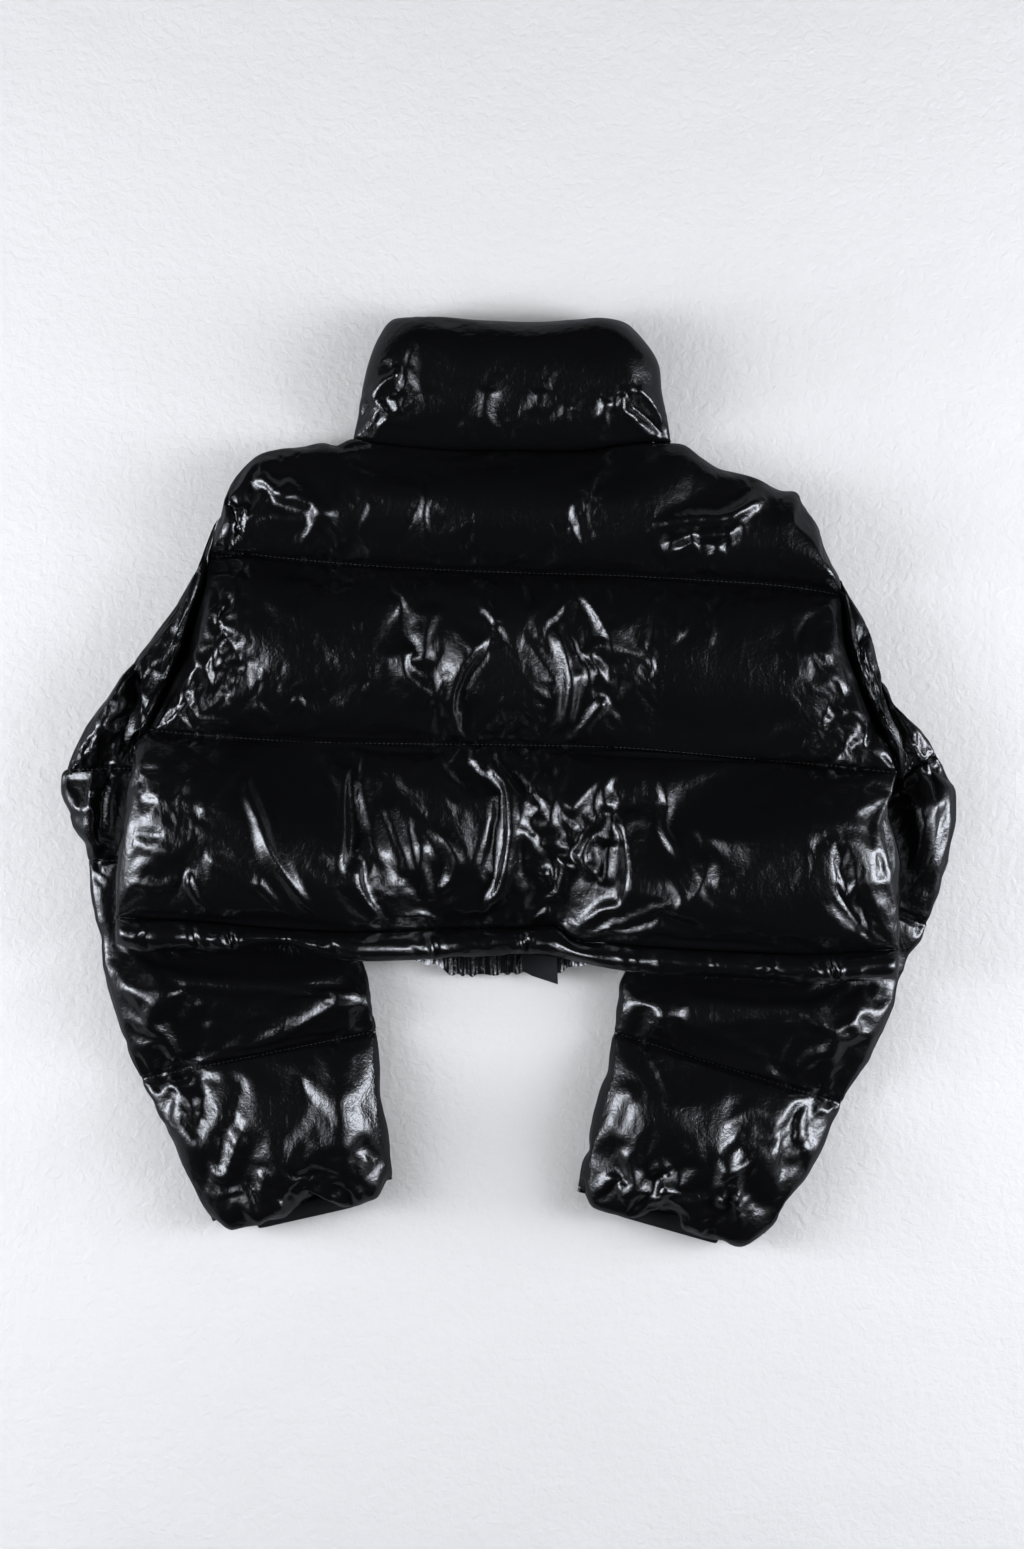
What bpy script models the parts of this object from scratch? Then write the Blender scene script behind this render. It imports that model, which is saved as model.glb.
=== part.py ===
# Cropped puffer jacket with a funnel collar, lying on its front with its back upwards.
# Metres, +Z up, the collar towards +Y, the wearer's left towards -X.
# The origin is the middle of the outline, on the surface that the jacket lies on.
# Tables are in millimetres. Every panel is a padded wall: quilted outside, plain inside.

import math
from collections import namedtuple

import bmesh
import bpy
import numpy as np

MM = 0.001

# Thicknesses
EDGE = 2.0  # a panel where a seam or a stitch line holds it flat
HOLLOW = 1.6  # half the flat space inside the body, sleeves and collar
SEAM_GAP = 0.5  # between the panels of one seam
FRONT_LOFT = 22.0  # the fronts, which the jacket lies on
YOKE_LOFT = 31.0
CHEST_LOFT = 36.0
WAIST_LOFT = 34.0
COLLAR_LOFT = 33.0
HEM_LOFT = 14.0
ROLL = 30.0  # how far in from an outer edge the padding is full
FOLD_WALL = 13.0  # the padding beside the hollow where a sleeve or the collar folds
CLOSING = 14.0  # how far in from a closed edge the hollow is full
INSIDE = FRONT_LOFT + EDGE  # the level between the fronts and the back, above what lies under them

# How the body lies over the sleeves
LIFT = 32.0  # the body's underside where a sleeve is under it
RAMP = 84.0  # from there down to the floor
HEM_DIP = 10.0  # how far the front hem band's lower edge lies below the back's
PRESSED = 29.0  # a sleeve's top under the body
SLEEVE_LOFT = 31.0  # a free sleeve's padding above its hollow
UPPER_LOFT = 26.0  # the same between the armhole and the elbow
SLEEVE_LEVEL = 19.0  # a sleeve's hollow above the floor
CUFF_LEVEL = 12.0

# The zip
ZIP_TOP_X = 2.0
ZIP_HEM_X = 32.0
CHANNEL = 8.0  # half the width between the two fronts
CLEAR = 9.0  # from the channel to the body's next column of points
TAPE = 1.2
TAPE_GAP = 0.4  # between a tape and the front that it is sewn to
FLAP = 1.4
HINGE = (2.8, 359.0, 17.3)  # the pull's pivot: the zip's line near the collar's top
PULL_WIDTH = 7.0
PULL_LENGTH = 24.0
PULL_TILT = math.radians(42)

Point = namedtuple("Point", "x y")
SleeveRow = namedtuple("SleeveRow", "outer_x outer_y inner_x inner_y armhole stitched loft level")
CuffRow = namedtuple("CuffRow", "outer_x outer_y inner_x inner_y")
TapeRow = namedtuple("TapeRow", "y from_middle")
FlapRow = namedtuple("FlapRow", "y left right rise")
Fold = namedtuple("Fold", "x0 y0 x1 y1 width height")

LEFT_SHOULDER = [Point(-233, 215), Point(-230, 224), Point(-226, 237), Point(-218, 251),
                 Point(-202, 267), Point(-180, 272), Point(-144, 275), Point(-126, 277)]
BACK_NECK = [Point(-126, 277), Point(-110, 276), Point(-64, 271), Point(0, 270),
             Point(64, 270), Point(90, 274), Point(112, 276), Point(128, 276)]
RIGHT_SHOULDER = [Point(128, 276), Point(138, 275), Point(156, 262), Point(184, 250),
                  Point(200, 246), Point(218, 238), Point(230, 237), Point(242, 218),
                  Point(250, 196), Point(262, 168)]
YOKE_SEAM = [Point(-242, 186), Point(-200, 186), Point(-136, 180), Point(-40, 175),
             Point(72, 170), Point(168, 166), Point(232, 160), Point(266, 154)]
CHEST_SEAM = [Point(-287, 46), Point(-236, 40), Point(-152, 38), Point(-40, 35),
              Point(88, 32), Point(184, 25), Point(256, 19), Point(306, 12)]
HEM_SEAM = [Point(-311, -102), Point(-248, -104), Point(-168, -110), Point(-144, -113),
            Point(8, -113), Point(40, -113), Point(104, -122), Point(152, -125),
            Point(232, -128), Point(307, -123)]
HEM_EDGE = [Point(-311, -125), Point(-248, -127), Point(-216, -130), Point(-192, -126),
            Point(-144, -134), Point(-120, -137), Point(-56, -138), Point(24, -133),
            Point(56, -139), Point(80, -145), Point(168, -144), Point(232, -152),
            Point(270, -152), Point(306, -146)]
FRONT_HEM_EDGE = [Point(-309, -120), Point(-220, -122), Point(-110, -126), Point(-82, -134),
                  Point(-56, -143), Point(-46, -150), Point(8, -151), Point(32, -147),
                  Point(62, -139), Point(90, -136), Point(200, -138), Point(304, -138)]
LEFT_ARMHOLE_TOP = [Point(-233, 215), Point(-238, 202), Point(-242, 186)]
LEFT_ARMHOLE = [Point(-242, 186), Point(-247, 150), Point(-260, 110), Point(-272, 82), Point(-287, 46)]
LEFT_SIDE = [Point(-287, 46), Point(-294, 22), Point(-303, -22), Point(-306, -54), Point(-311, -102)]
RIGHT_ARMHOLE_TOP = [Point(262, 168), Point(266, 154)]
RIGHT_ARMHOLE = [Point(266, 154), Point(270, 110), Point(278, 85), Point(290, 58), Point(306, 12)]
RIGHT_SIDE = [Point(306, 12), Point(298, -12), Point(296, -30), Point(303, -60), Point(307, -123)]
COLLAR_LEFT = [Point(-126, 277), Point(-123, 290), Point(-119, 312), Point(-114, 334),
               Point(-107, 352), Point(-95, 372)]
COLLAR_RIGHT = [Point(128, 276), Point(126, 296), Point(123, 315), Point(118, 337),
                Point(106, 354), Point(96, 368)]
COLLAR_TOP = [Point(-95, 372), Point(-88, 375), Point(-32, 374), Point(8, 373),
              Point(70, 375), Point(84, 373), Point(96, 368)]
FRONT_NECK_DROP = 34.0

LEFT_SLEEVE = [
    SleeveRow(-234, 215, -288, 46, 1.0, True, 0, INSIDE),
    SleeveRow(-290, 110, -296, 31, 0.4, False, UPPER_LOFT, 30),
    SleeveRow(-357, 14, -288, 16, 0.1, True, 0, SLEEVE_LEVEL),
    SleeveRow(-351, -26, -266, -16, 0.0, False, UPPER_LOFT, SLEEVE_LEVEL),
    SleeveRow(-341, -62, -206, -51, 0.0, True, 0, SLEEVE_LEVEL),
    SleeveRow(-331, -114, -140, -90, 0.0, False, SLEEVE_LOFT, SLEEVE_LEVEL),
    SleeveRow(-317, -170, -115, -158, 0.0, False, SLEEVE_LOFT, SLEEVE_LEVEL),
    SleeveRow(-296, -234, -106, -196, 0.0, True, 0, SLEEVE_LEVEL),
    SleeveRow(-265, -290, -102, -262, 0.0, False, SLEEVE_LOFT, SLEEVE_LEVEL),
    SleeveRow(-240, -350, -96, -316, 0.0, True, 0, CUFF_LEVEL),
]
RIGHT_SLEEVE = [
    SleeveRow(263, 168, 307, 12, 1.0, True, 0, INSIDE),
    SleeveRow(297, 92, 312, -2, 0.4, False, UPPER_LOFT, 30),
    SleeveRow(342, 27, 298, -6, 0.1, True, 0, SLEEVE_LEVEL),
    SleeveRow(357, -28, 276, -26, 0.0, False, UPPER_LOFT, SLEEVE_LEVEL),
    SleeveRow(337, -109, 200, -62, 0.0, True, 0, SLEEVE_LEVEL),
    SleeveRow(318, -146, 128, -100, 0.0, False, SLEEVE_LOFT, SLEEVE_LEVEL),
    SleeveRow(300, -190, 92, -154, 0.0, False, SLEEVE_LOFT, SLEEVE_LEVEL),
    SleeveRow(266, -254, 82, -198, 0.0, True, 0, SLEEVE_LEVEL),
    SleeveRow(235, -312, 68, -258, 0.0, False, SLEEVE_LOFT, SLEEVE_LEVEL),
    SleeveRow(206, -360, 56, -324, 0.0, True, 0, CUFF_LEVEL),
]
LEFT_CUFF = [CuffRow(-239.5, -350.5, -96, -316.5), CuffRow(-226, -361, -102, -333)]
RIGHT_CUFF = [CuffRow(205.5, -360.5, 56, -324.5), CuffRow(191, -375, 61, -338)]

# The largest folds of the back, as ridges between two points
BACK_FOLDS = [
    Fold(-202, 12, -146, -106, 13, 8),
    Fold(-130, 28, -100, -92, 14, 6),
    Fold(-56, -44, -42, -92, 13, 5),
    Fold(-12, 24, -6, -48, 13, 9),
    Fold(-6, -48, -26, -102, 13, 8),
    Fold(26, 18, 10, -44, 13, 5),
    Fold(66, 10, 72, -60, 14, 6),
    Fold(88, -6, 86, -98, 13, 8),
    Fold(112, 16, 122, -44, 14, 5),
    Fold(-22, 116, -48, 52, 14, 6),
    Fold(30, 116, 42, 44, 14, 7),
    Fold(-262, 108, -236, 76, 12, 5),
    Fold(-196, 250, -138, 196, 12, 6),
    Fold(116, 212, 204, 232, 14, 7),
]
SLEEVE_FOLDS = [
    Fold(240, -150, 298, -158, 16, 7),
    Fold(176, -292, 160, -338, 13, 6),
    Fold(-128, -210, -140, -300, 14, 6),
    Fold(-330, -52, -312, -44, 12, 5),
    Fold(-214, -270, -224, -312, 12, 5),
    Fold(232, -254, 226, -292, 12, 5),
]
# Pinches across the hem band where its elastic draws it in
HEM_PINCHES = [-246, -216, -198, -168, -138, -60, -50, -4, 28, 42, 88, 124, 144, 152, 226, 256]
FRONT_GATHER = 8.0  # from one gather of the front hem's elastic to the next, where it shows
CUFF_GATHERS = 9  # along one side of a cuff
TAPE_ROWS = [TapeRow(-149, 0.2), TapeRow(-141, 0.2), TapeRow(-132, 0.2), TapeRow(-123, 0.2),
             TapeRow(-114, 0.2), TapeRow(-104, 0.2), TapeRow(-92, 0.2), TapeRow(-76, 0.2), TapeRow(-50, 0.2),
             TapeRow(360, 0.2), TapeRow(361.8, 1.5), TapeRow(372, 2.2)]
FLAP_ROWS = [FlapRow(-158, 18, 38.4, 6), FlapRow(-148, 10, 38.2, 0), FlapRow(-141, 9.5, 37.8, 0),
             FlapRow(-132, 9, 37.2, 0), FlapRow(-123, 8.5, 36.8, 0), FlapRow(-114, 8, 36.4, 0),
             FlapRow(-106, 7.5, 36, 0), FlapRow(-98, 7, 35.5, 0), FlapRow(-88, 6.5, 34.9, 0),
             FlapRow(-76, 6, 34.2, 0), FlapRow(-50, 4, 32.6, 0),
             FlapRow(340, -19, 9.4, 0)]


# Curves and patches in plan


def smooth_curve(points, shares):
    """Points at these shares of the length of a smooth curve through the table's points."""
    knots = np.array([(p.x, p.y) for p in points], float)
    chords = np.linalg.norm(np.diff(knots, axis=0), axis=1)
    at = np.concatenate([[0.0], np.cumsum(chords)])
    if len(knots) > 2:
        slopes = np.gradient(knots, at, axis=0)
    else:
        slopes = np.repeat(np.diff(knots, axis=0) / chords[0], 2, axis=0)
    fine = np.linspace(0.0, at[-1], 30 * len(knots))
    k = np.clip(np.searchsorted(at, fine, side="right") - 1, 0, len(chords) - 1)
    span = chords[k][:, None]
    s = ((fine - at[k]) / chords[k])[:, None]
    curve = ((1 + 2 * s) * (1 - s) ** 2 * knots[k] + s * (1 - s) ** 2 * span * slopes[k]
             + s * s * (3 - 2 * s) * knots[k + 1] + s * s * (s - 1) * span * slopes[k + 1])
    lengths = np.concatenate([[0.0], np.cumsum(np.linalg.norm(np.diff(curve, axis=0), axis=1))])
    wanted = np.asarray(shares) * lengths[-1]
    return np.stack([np.interp(wanted, lengths, curve[:, k]) for k in (0, 1)], axis=1)


def patch(top, bottom, left, right, across, down):
    """A grid of plan points, [down][across], that meets four edge curves. Left and right run downwards."""
    u = np.asarray(across)[None, :, None]
    v = np.asarray(down)[:, None, None]
    t, b = smooth_curve(top, across)[None], smooth_curve(bottom, across)[None]
    l, r = smooth_curve(left, down)[:, None], smooth_curve(right, down)[:, None]
    corners = ((1 - u) * (1 - v) * t[:, :1] + u * (1 - v) * t[:, -1:]
               + (1 - u) * v * b[:, :1] + u * v * b[:, -1:])
    return (1 - v) * t + v * b + (1 - u) * l + u * r - corners


def spread(middle, close_to_ends):
    """Shares from 0 to 1 that lie closer together at both ends."""
    ends = np.array(close_to_ends)
    inner = np.linspace(ends[-1], 1 - ends[-1], middle)
    return np.concatenate([ends[:-1], inner, (1 - ends[:-1])[::-1]])


def smooth_step(x):
    x = np.clip(x, 0.0, 1.0)
    return x * x * (3 - 2 * x)


def rolled(distance, width=ROLL):
    """The share of the padding at a distance in from a rolled edge."""
    return np.sqrt(1 - (1 - np.clip(distance / width, 0.0, 1.0)) ** 2)


def quilted(share):
    """The share of the padding between two stitch lines."""
    return np.sin(math.pi * np.clip(share, 0.0, 1.0)) ** 0.6


def distance_to(plan, curve):
    """How far each plan point lies from an open curve of points."""
    starts, sides = curve[:-1], np.diff(curve, axis=0)
    offset = plan[..., None, :] - starts
    along = np.clip((offset * sides).sum(-1) / np.maximum((sides ** 2).sum(-1), 1e-9), 0, 1)
    return np.linalg.norm(offset - along[..., None] * sides, axis=-1).min(-1)


def distance_outside(plan, outline):
    """How far each plan point lies outside a closed outline, or minus the distance inside."""
    ends = np.roll(outline, -1, axis=0)
    sides = ends - outline
    away = distance_to(plan, np.concatenate([outline, outline[:1]]))
    x, y = plan[..., None, 0], plan[..., None, 1]
    crosses = (outline[:, 1] > y) != (ends[:, 1] > y)
    rise = np.where(np.abs(sides[:, 1]) < 1e-9, 1e-9, sides[:, 1])
    hits = crosses & (x < outline[:, 0] + (y - outline[:, 1]) * sides[:, 0] / rise)
    return np.where(hits.sum(-1) % 2 == 1, -away, away)


def zip_x(y):
    """The zip slants a little from the collar's top to the hem."""
    share = (COLLAR_TOP[0].y - np.asarray(y)) / (COLLAR_TOP[0].y - HEM_EDGE[0].y)
    return ZIP_TOP_X + (ZIP_HEM_X - ZIP_TOP_X) * share


# How the layers lie on each other


def backwards(points):
    return list(reversed(points))


def moved(points, dx, dy):
    return [Point(p.x + dx, p.y + dy) for p in points]


def sampled(*curves):
    """Plan points along curves that follow each other."""
    return np.concatenate([smooth_curve(c, np.linspace(0, 1, 12))[:-1] for c in curves])


BODY_OUTLINE = sampled(LEFT_SHOULDER, BACK_NECK, RIGHT_SHOULDER, RIGHT_ARMHOLE_TOP, RIGHT_ARMHOLE,
                       RIGHT_SIDE, [HEM_SEAM[-1], HEM_EDGE[-1]], backwards(HEM_EDGE),
                       [HEM_EDGE[0], HEM_SEAM[0]], backwards(LEFT_SIDE),
                       backwards(LEFT_ARMHOLE), backwards(LEFT_ARMHOLE_TOP))
CLOSED_EDGES = [sampled(LEFT_SHOULDER), sampled(RIGHT_SHOULDER),
                sampled(LEFT_SIDE, [HEM_SEAM[0], HEM_EDGE[0]]),
                sampled(RIGHT_SIDE, [HEM_SEAM[-1], HEM_EDGE[-1]])]


def forearm_outline(rows):
    lying = rows[2:]
    outer = [(r.outer_x, r.outer_y) for r in lying]
    inner = [(r.inner_x, r.inner_y) for r in reversed(lying)]
    return np.array(outer + inner, float)


def underside(plan):
    """The level that the fronts lie on: the floor, or the sleeves under them."""
    lifts = [1 - smooth_step(distance_outside(plan, forearm_outline(rows)) / RAMP)
             for rows in (LEFT_SLEEVE, RIGHT_SLEEVE)]
    return LIFT * np.maximum(*lifts)


def hollow(plan):
    """Half the height of the flat space between the fronts and the back, which ends at the closed seams."""
    away = np.min([distance_to(plan, edge) for edge in CLOSED_EDGES], axis=0)
    return SEAM_GAP / 2 + (HOLLOW - SEAM_GAP / 2) * rolled(away, CLOSING)


def ridges(plan, folds):
    """The height that folds add: a soft ridge along each line, fading out at both ends."""
    height = np.zeros(plan.shape[:-1])
    for f in folds:
        start, run = np.array([f.x0, f.y0], float), np.array([f.x1 - f.x0, f.y1 - f.y0], float)
        along = ((plan - start) @ run) / (run @ run)
        nearest = start + np.clip(along, 0, 1)[..., None] * run
        away = np.linalg.norm(plan - nearest, axis=-1)
        fade = smooth_step(np.minimum(along, 1 - along) / 0.3 + 0.3)
        height += f.height * fade * np.exp(-(away / f.width) ** 2)
    return height


# Solids


def material(name, colour, roughness, metallic=0.0):
    made = bpy.data.materials.new(name)
    made.use_nodes = True
    shader = made.node_tree.nodes["Principled BSDF"]
    shader.inputs["Base Color"].default_value = (*colour, 1.0)
    shader.inputs["Roughness"].default_value = roughness
    shader.inputs["Metallic"].default_value = metallic
    return made


def placed(name, bm, finish):
    bmesh.ops.recalc_face_normals(bm, faces=bm.faces)
    mesh = bpy.data.meshes.new(name)
    bm.to_mesh(mesh)
    bm.free()
    obj = bpy.data.objects.new(name, mesh)
    bpy.context.scene.collection.objects.link(obj)
    mesh.materials.append(finish)
    mesh.shade_smooth()
    mesh.set_sharp_from_angle(angle=math.radians(50))
    return obj


def wall(name, outer, inner, finish, closed=False):
    """A solid between two grids of points, [row][column], outer and inner. A closed one is a tube."""
    bm = bmesh.new()
    outside, within = [[[bm.verts.new(p * MM) for p in row] for row in grid] for grid in (outer, inner)]
    rows, columns = outer.shape[:2]
    steps = [(i, (i + 1) % columns) for i in range(columns if closed else columns - 1)]
    for grid in (outside, within):
        for j in range(rows - 1):
            for i, k in steps:
                bm.faces.new([grid[j][i], grid[j][k], grid[j + 1][k], grid[j + 1][i]])
    for j in (0, rows - 1):
        for i, k in steps:
            bm.faces.new([outside[j][i], outside[j][k], within[j][k], within[j][i]])
    if not closed:
        for i in (0, columns - 1):
            for j in range(rows - 1):
                bm.faces.new([outside[j][i], outside[j + 1][i], within[j + 1][i], within[j][i]])
    return placed(name, bm, finish)


def with_height(plan, height):
    return np.concatenate([plan, np.broadcast_to(height, plan.shape[:-1])[..., None]], axis=-1)


# The body


BAFFLE_ROWS = [0.0, 0.06, 0.2, 0.4, 0.6, 0.8, 0.94, 1.0]
COLUMNS = spread(38, [0.0, 0.006, 0.02, 0.042, 0.07])
BAFFLES = [
    (LEFT_SHOULDER + BACK_NECK[1:] + RIGHT_SHOULDER[1:], YOKE_SEAM, LEFT_ARMHOLE_TOP, RIGHT_ARMHOLE_TOP,
     YOKE_LOFT),
    (YOKE_SEAM, CHEST_SEAM, LEFT_ARMHOLE, RIGHT_ARMHOLE, CHEST_LOFT),
    (CHEST_SEAM, HEM_SEAM, LEFT_SIDE, RIGHT_SIDE, WAIST_LOFT),
]


def stacked(grids):
    """Grids that share their edge rows, as one."""
    return np.concatenate([grids[0]] + [g[1:] for g in grids[1:]])


QUILTING = stacked(3 * [quilted(np.array(BAFFLE_ROWS))])[:, None]


def side_distance(plan):
    """How far each point of a row lies from the nearer end of its row."""
    steps = np.linalg.norm(np.diff(plan, axis=1), axis=-1)
    run = np.concatenate([np.zeros((len(plan), 1)), np.cumsum(steps, axis=1)], axis=1)
    return np.minimum(run, run[:, -1:] - run)


def body_plan():
    return stacked([patch(t, b, l, r, COLUMNS, BAFFLE_ROWS) for t, b, l, r, _ in BAFFLES])


def make_back(cloth):
    plan = body_plan()
    lofts = stacked([np.full((len(BAFFLE_ROWS), 1), baffle[-1]) for baffle in BAFFLES])
    lining = underside(plan) + INSIDE + hollow(plan)
    padding = (lofts + ridges(plan, BACK_FOLDS)) * QUILTING * rolled(side_distance(plan))
    return wall("back", with_height(plan, lining + EDGE + padding), with_height(plan, lining), cloth)


def neck_drop(x):
    """How far the front neckline dips below the back one."""
    middle = (BACK_NECK[0].x + BACK_NECK[-1].x) / 2
    half = (BACK_NECK[-1].x - BACK_NECK[0].x) / 2
    return FRONT_NECK_DROP * np.clip(1 - ((x - middle) / half) ** 2, 0, 1)


def up_to_zip(plan, side):
    """Every other column of one side of the body's plan, from its side seam to the zip's channel."""
    plan = plan if side < 0 else plan[:, ::-1]
    apart = side * (plan[..., 0] - zip_x(plan[..., 1])) - CHANNEL
    kept = plan[:, apart.min(axis=0) > CLEAR]
    kept = np.concatenate([kept[:, :4], kept[:, :3:-2][:, ::-1]], axis=1)
    last = kept[:, -1]
    reach = zip_x(last[:, 1]) + side * CHANNEL - last[:, 0]
    more_x = last[:, :1] + reach[:, None] * np.array([1 / 3, 2 / 3, 1])
    more_y = np.array([np.interp(x * -side, row[:, 0] * -side, row[:, 1]) for x, row in zip(more_x, plan)])
    made = np.concatenate([kept, np.stack([more_x, more_y], axis=-1)], axis=1)
    above_yoke = 1 - np.minimum(np.arange(len(made)) // len(BAFFLE_ROWS), 1)
    above_yoke = above_yoke * (1 - np.resize(BAFFLE_ROWS, len(made)))
    made[..., 1] -= neck_drop(made[..., 0]) * above_yoke[:, None]
    made[:, -1, 0] = zip_x(made[:, -1, 1]) + side * CHANNEL
    return made if side < 0 else made[:, ::-1]


def make_front(side, name, cloth):
    plan = up_to_zip(body_plan(), side)
    fullness = np.clip(1.25 * QUILTING * rolled(side_distance(plan)), 0, 1)
    lining = underside(plan) + INSIDE - hollow(plan)
    bottom = lining - EDGE - (lining - EDGE - underside(plan)) * fullness
    return wall(name, with_height(plan, bottom), with_height(plan, lining), cloth)


# The hem bands


def pinched(x):
    """The share of the hem band's padding where its elastic pinches it."""
    nearest = np.abs(x[..., None] - np.array(HEM_PINCHES)).min(-1)
    return 0.6 + 0.4 * smooth_step(nearest / 7)


def make_back_hem(cloth):
    seam = moved(HEM_SEAM, 0, -SEAM_GAP)
    rows = np.array([0.0, 0.12, 0.35, 0.65, 0.88, 1.0])
    plan = patch(seam, HEM_EDGE, [seam[0], HEM_EDGE[0]], [seam[-1], HEM_EDGE[-1]],
                 spread(62, [0.0, 0.004, 0.014]), rows)
    lining = underside(plan) + INSIDE + hollow(plan)
    padding = HEM_LOFT * quilted(rows)[:, None] * pinched(plan[..., 0]) * rolled(side_distance(plan), 8)
    return wall("hem_back", with_height(plan, lining + EDGE + padding), with_height(plan, lining), cloth)


def hem_drop(plan):
    """How far the front hem band dips below the body's level, so that it shows below the back's."""
    seam = smooth_curve(HEM_SEAM, np.linspace(0, 1, 60))
    edge = smooth_curve(FRONT_HEM_EDGE, np.linspace(0, 1, 60))
    top, end = np.interp(plan[..., 0], *seam.T), np.interp(plan[..., 0], *edge.T)
    return HEM_DIP * smooth_step((top - plan[..., 1]) / (top - end))


def make_front_hem(side, name, cloth):
    """A front's hem band. Its elastic gathers it where it shows below the back."""
    shown = (FRONT_HEM_EDGE[2].x, FRONT_HEM_EDGE[9].x)
    near = zip_x(HEM_EDGE[7].y) + side * CHANNEL
    far = FRONT_HEM_EDGE[0].x if side < 0 else FRONT_HEM_EDGE[-1].x
    gathers = np.arange(max(shown[0], near) if side > 0 else shown[0],
                        shown[1] if side > 0 else near, FRONT_GATHER / 2)
    plain = np.linspace(far, shown[0], 9)[:-1] if side < 0 else np.linspace(shown[1], far, 9)
    at = np.concatenate([plain, gathers, [near]] if side < 0 else [gathers, plain])
    rows = np.array([0.0, 0.2, 0.5, 0.8, 1.0])
    seam = up_to_zip(body_plan(), side)[-1]
    ends = smooth_curve(FRONT_HEM_EDGE, np.linspace(0, 1, 200))
    top_y = np.interp(at, seam[:, 0], seam[:, 1]) - SEAM_GAP
    end_y = np.interp(at, ends[:, 0], ends[:, 1])
    plan = np.stack([np.broadcast_to(at, (5, len(at))), top_y + (end_y - top_y) * rows[:, None]], axis=-1)
    phase = np.arange(len(at)) % 2
    showing = smooth_step((at - shown[0]) / 20) * smooth_step((shown[1] - at) / 20)
    beside = plan[:, -1] if side < 0 else plan[:, 0]
    beside[:, 0] = zip_x(beside[:, 1]) + side * CHANNEL
    lining = underside(plan) + INSIDE - hollow(plan) - hem_drop(plan)
    quilting = quilted(rows * 0.8 + 0.1)[:, None]
    bottom = lining - EDGE - (lining - EDGE - underside(plan)) * quilting
    lining = lining - 2.4 * phase * showing * np.array([0.0, 0.5, 1.0, 1.0, 0.6])[:, None]
    bottom = np.minimum(bottom, lining - EDGE)
    return wall(name, with_height(plan, bottom), with_height(plan, lining), cloth)


# Sleeves, cuffs and collar


def tube(name, plan, top, level, bottom, space, cloth, inset=FOLD_WALL):
    """A flattened tube: each plan row is a section from edge to edge, and space is half its hollow."""
    width = np.linalg.norm(plan[:, -1] - plan[:, 0], axis=-1)[:, None, None]
    middle = (plan[:, :1] + plan[:, -1:]) / 2
    narrow = middle + (plan - middle) * (1 - np.minimum(2 * inset / width, 0.6))
    outer = np.concatenate([with_height(plan, top), with_height(plan, bottom)[:, -2:0:-1]], axis=1)
    inner_sides = [with_height(narrow, level + space), with_height(narrow, level - space)[:, -2:0:-1]]
    inner = np.concatenate(inner_sides, axis=1)
    return wall(name, outer, inner, cloth, closed=True)


def sleeve_sections(rows):
    """Sections between the table's rows, each with its padding: ends in plan, armhole share, level."""
    values = np.array([(r.outer_x, r.outer_y, r.inner_x, r.inner_y, r.armhole, r.level) for r in rows], float)
    slopes = np.gradient(values, axis=0)
    seams = [k for k, r in enumerate(rows) if r.stitched]
    stations = []
    for first, last in zip(seams[:-1], seams[1:]):
        loft = max(r.loft for r in rows[first:last + 1])
        shares = [0.0, 0.06, 0.2, 0.4, 0.6, 0.8, 0.94]
        stations += [(first + s * (last - first), loft * quilted(s)) for s in shares]
    stations.append((float(seams[-1]), 0.0))
    where, lofts = np.array(stations).T
    k = np.minimum(where.astype(int), len(rows) - 2)
    s = (where - k)[:, None]
    smooth = ((1 + 2 * s) * (1 - s) ** 2 * values[k] + s * (1 - s) ** 2 * slopes[k]
              + s * s * (3 - 2 * s) * values[k + 1] + s * s * (s - 1) * slopes[k + 1])
    return smooth, lofts[:, None]


def armhole_edge(column):
    """The body's edge between the shoulder and the underarm: the first or the last column of its plan."""
    return body_plan()[:2 * len(BAFFLE_ROWS) - 1, column]


def along(line, shares):
    """Points at these shares of the length of a line of points."""
    run = np.concatenate([[0.0], np.cumsum(np.linalg.norm(np.diff(line, axis=0), axis=1))])
    return np.stack([np.interp(shares * run[-1], run, line[:, k]) for k in (0, 1)], axis=1)


def sleeve_plan(sections, armhole, shares):
    """Plan points across each section, from the sleeve's outer to its inner edge."""
    seam = along(armhole, shares)
    bow = seam - (seam[0] + (seam[-1] - seam[0]) * shares[:, None])
    outer, inner = sections[:, None, 0:2], sections[:, None, 2:4]
    return outer + (inner - outer) * shares[None, :, None] + sections[:, None, 4:5] * bow[None]


def make_sleeve(name, rows, armhole, cloth):
    shares = spread(7, [0.0, 0.05, 0.14])
    sections, lofts = sleeve_sections(rows)
    plan = sleeve_plan(sections, armhole, shares)
    ceiling = underside(plan) - 3
    pressed_level = np.where(distance_outside(plan, BODY_OUTLINE) < -20, 0.6 * ceiling, 99)
    level = np.minimum(sections[:, 5:6], pressed_level)
    attached = smooth_step(sections[:, 4:5])
    level += attached * (underside(plan) + INSIDE - level)
    from_edge = side_distance(plan)
    width = from_edge.max(axis=1, keepdims=True)
    fullness = rolled(from_edge, np.minimum(ROLL, width))
    free = smooth_step((distance_outside(plan, BODY_OUTLINE) - 3) / 34)
    free[:7] = 1.0
    above = HOLLOW + EDGE + lofts + ridges(plan, SLEEVE_FOLDS) * (lofts > 0)
    pressed = np.minimum(above, np.minimum(ceiling, PRESSED) - level)
    top = level + (pressed + (above - pressed) * free) * fullness
    below = HOLLOW + EDGE + (level - HOLLOW - EDGE) * np.clip(1.3 * lofts / SLEEVE_LOFT, 0, 1)
    bottom = np.maximum(level - below * fullness, 0.0)
    return tube(name, plan, top, level, bottom, HOLLOW * fullness, cloth)


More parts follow.
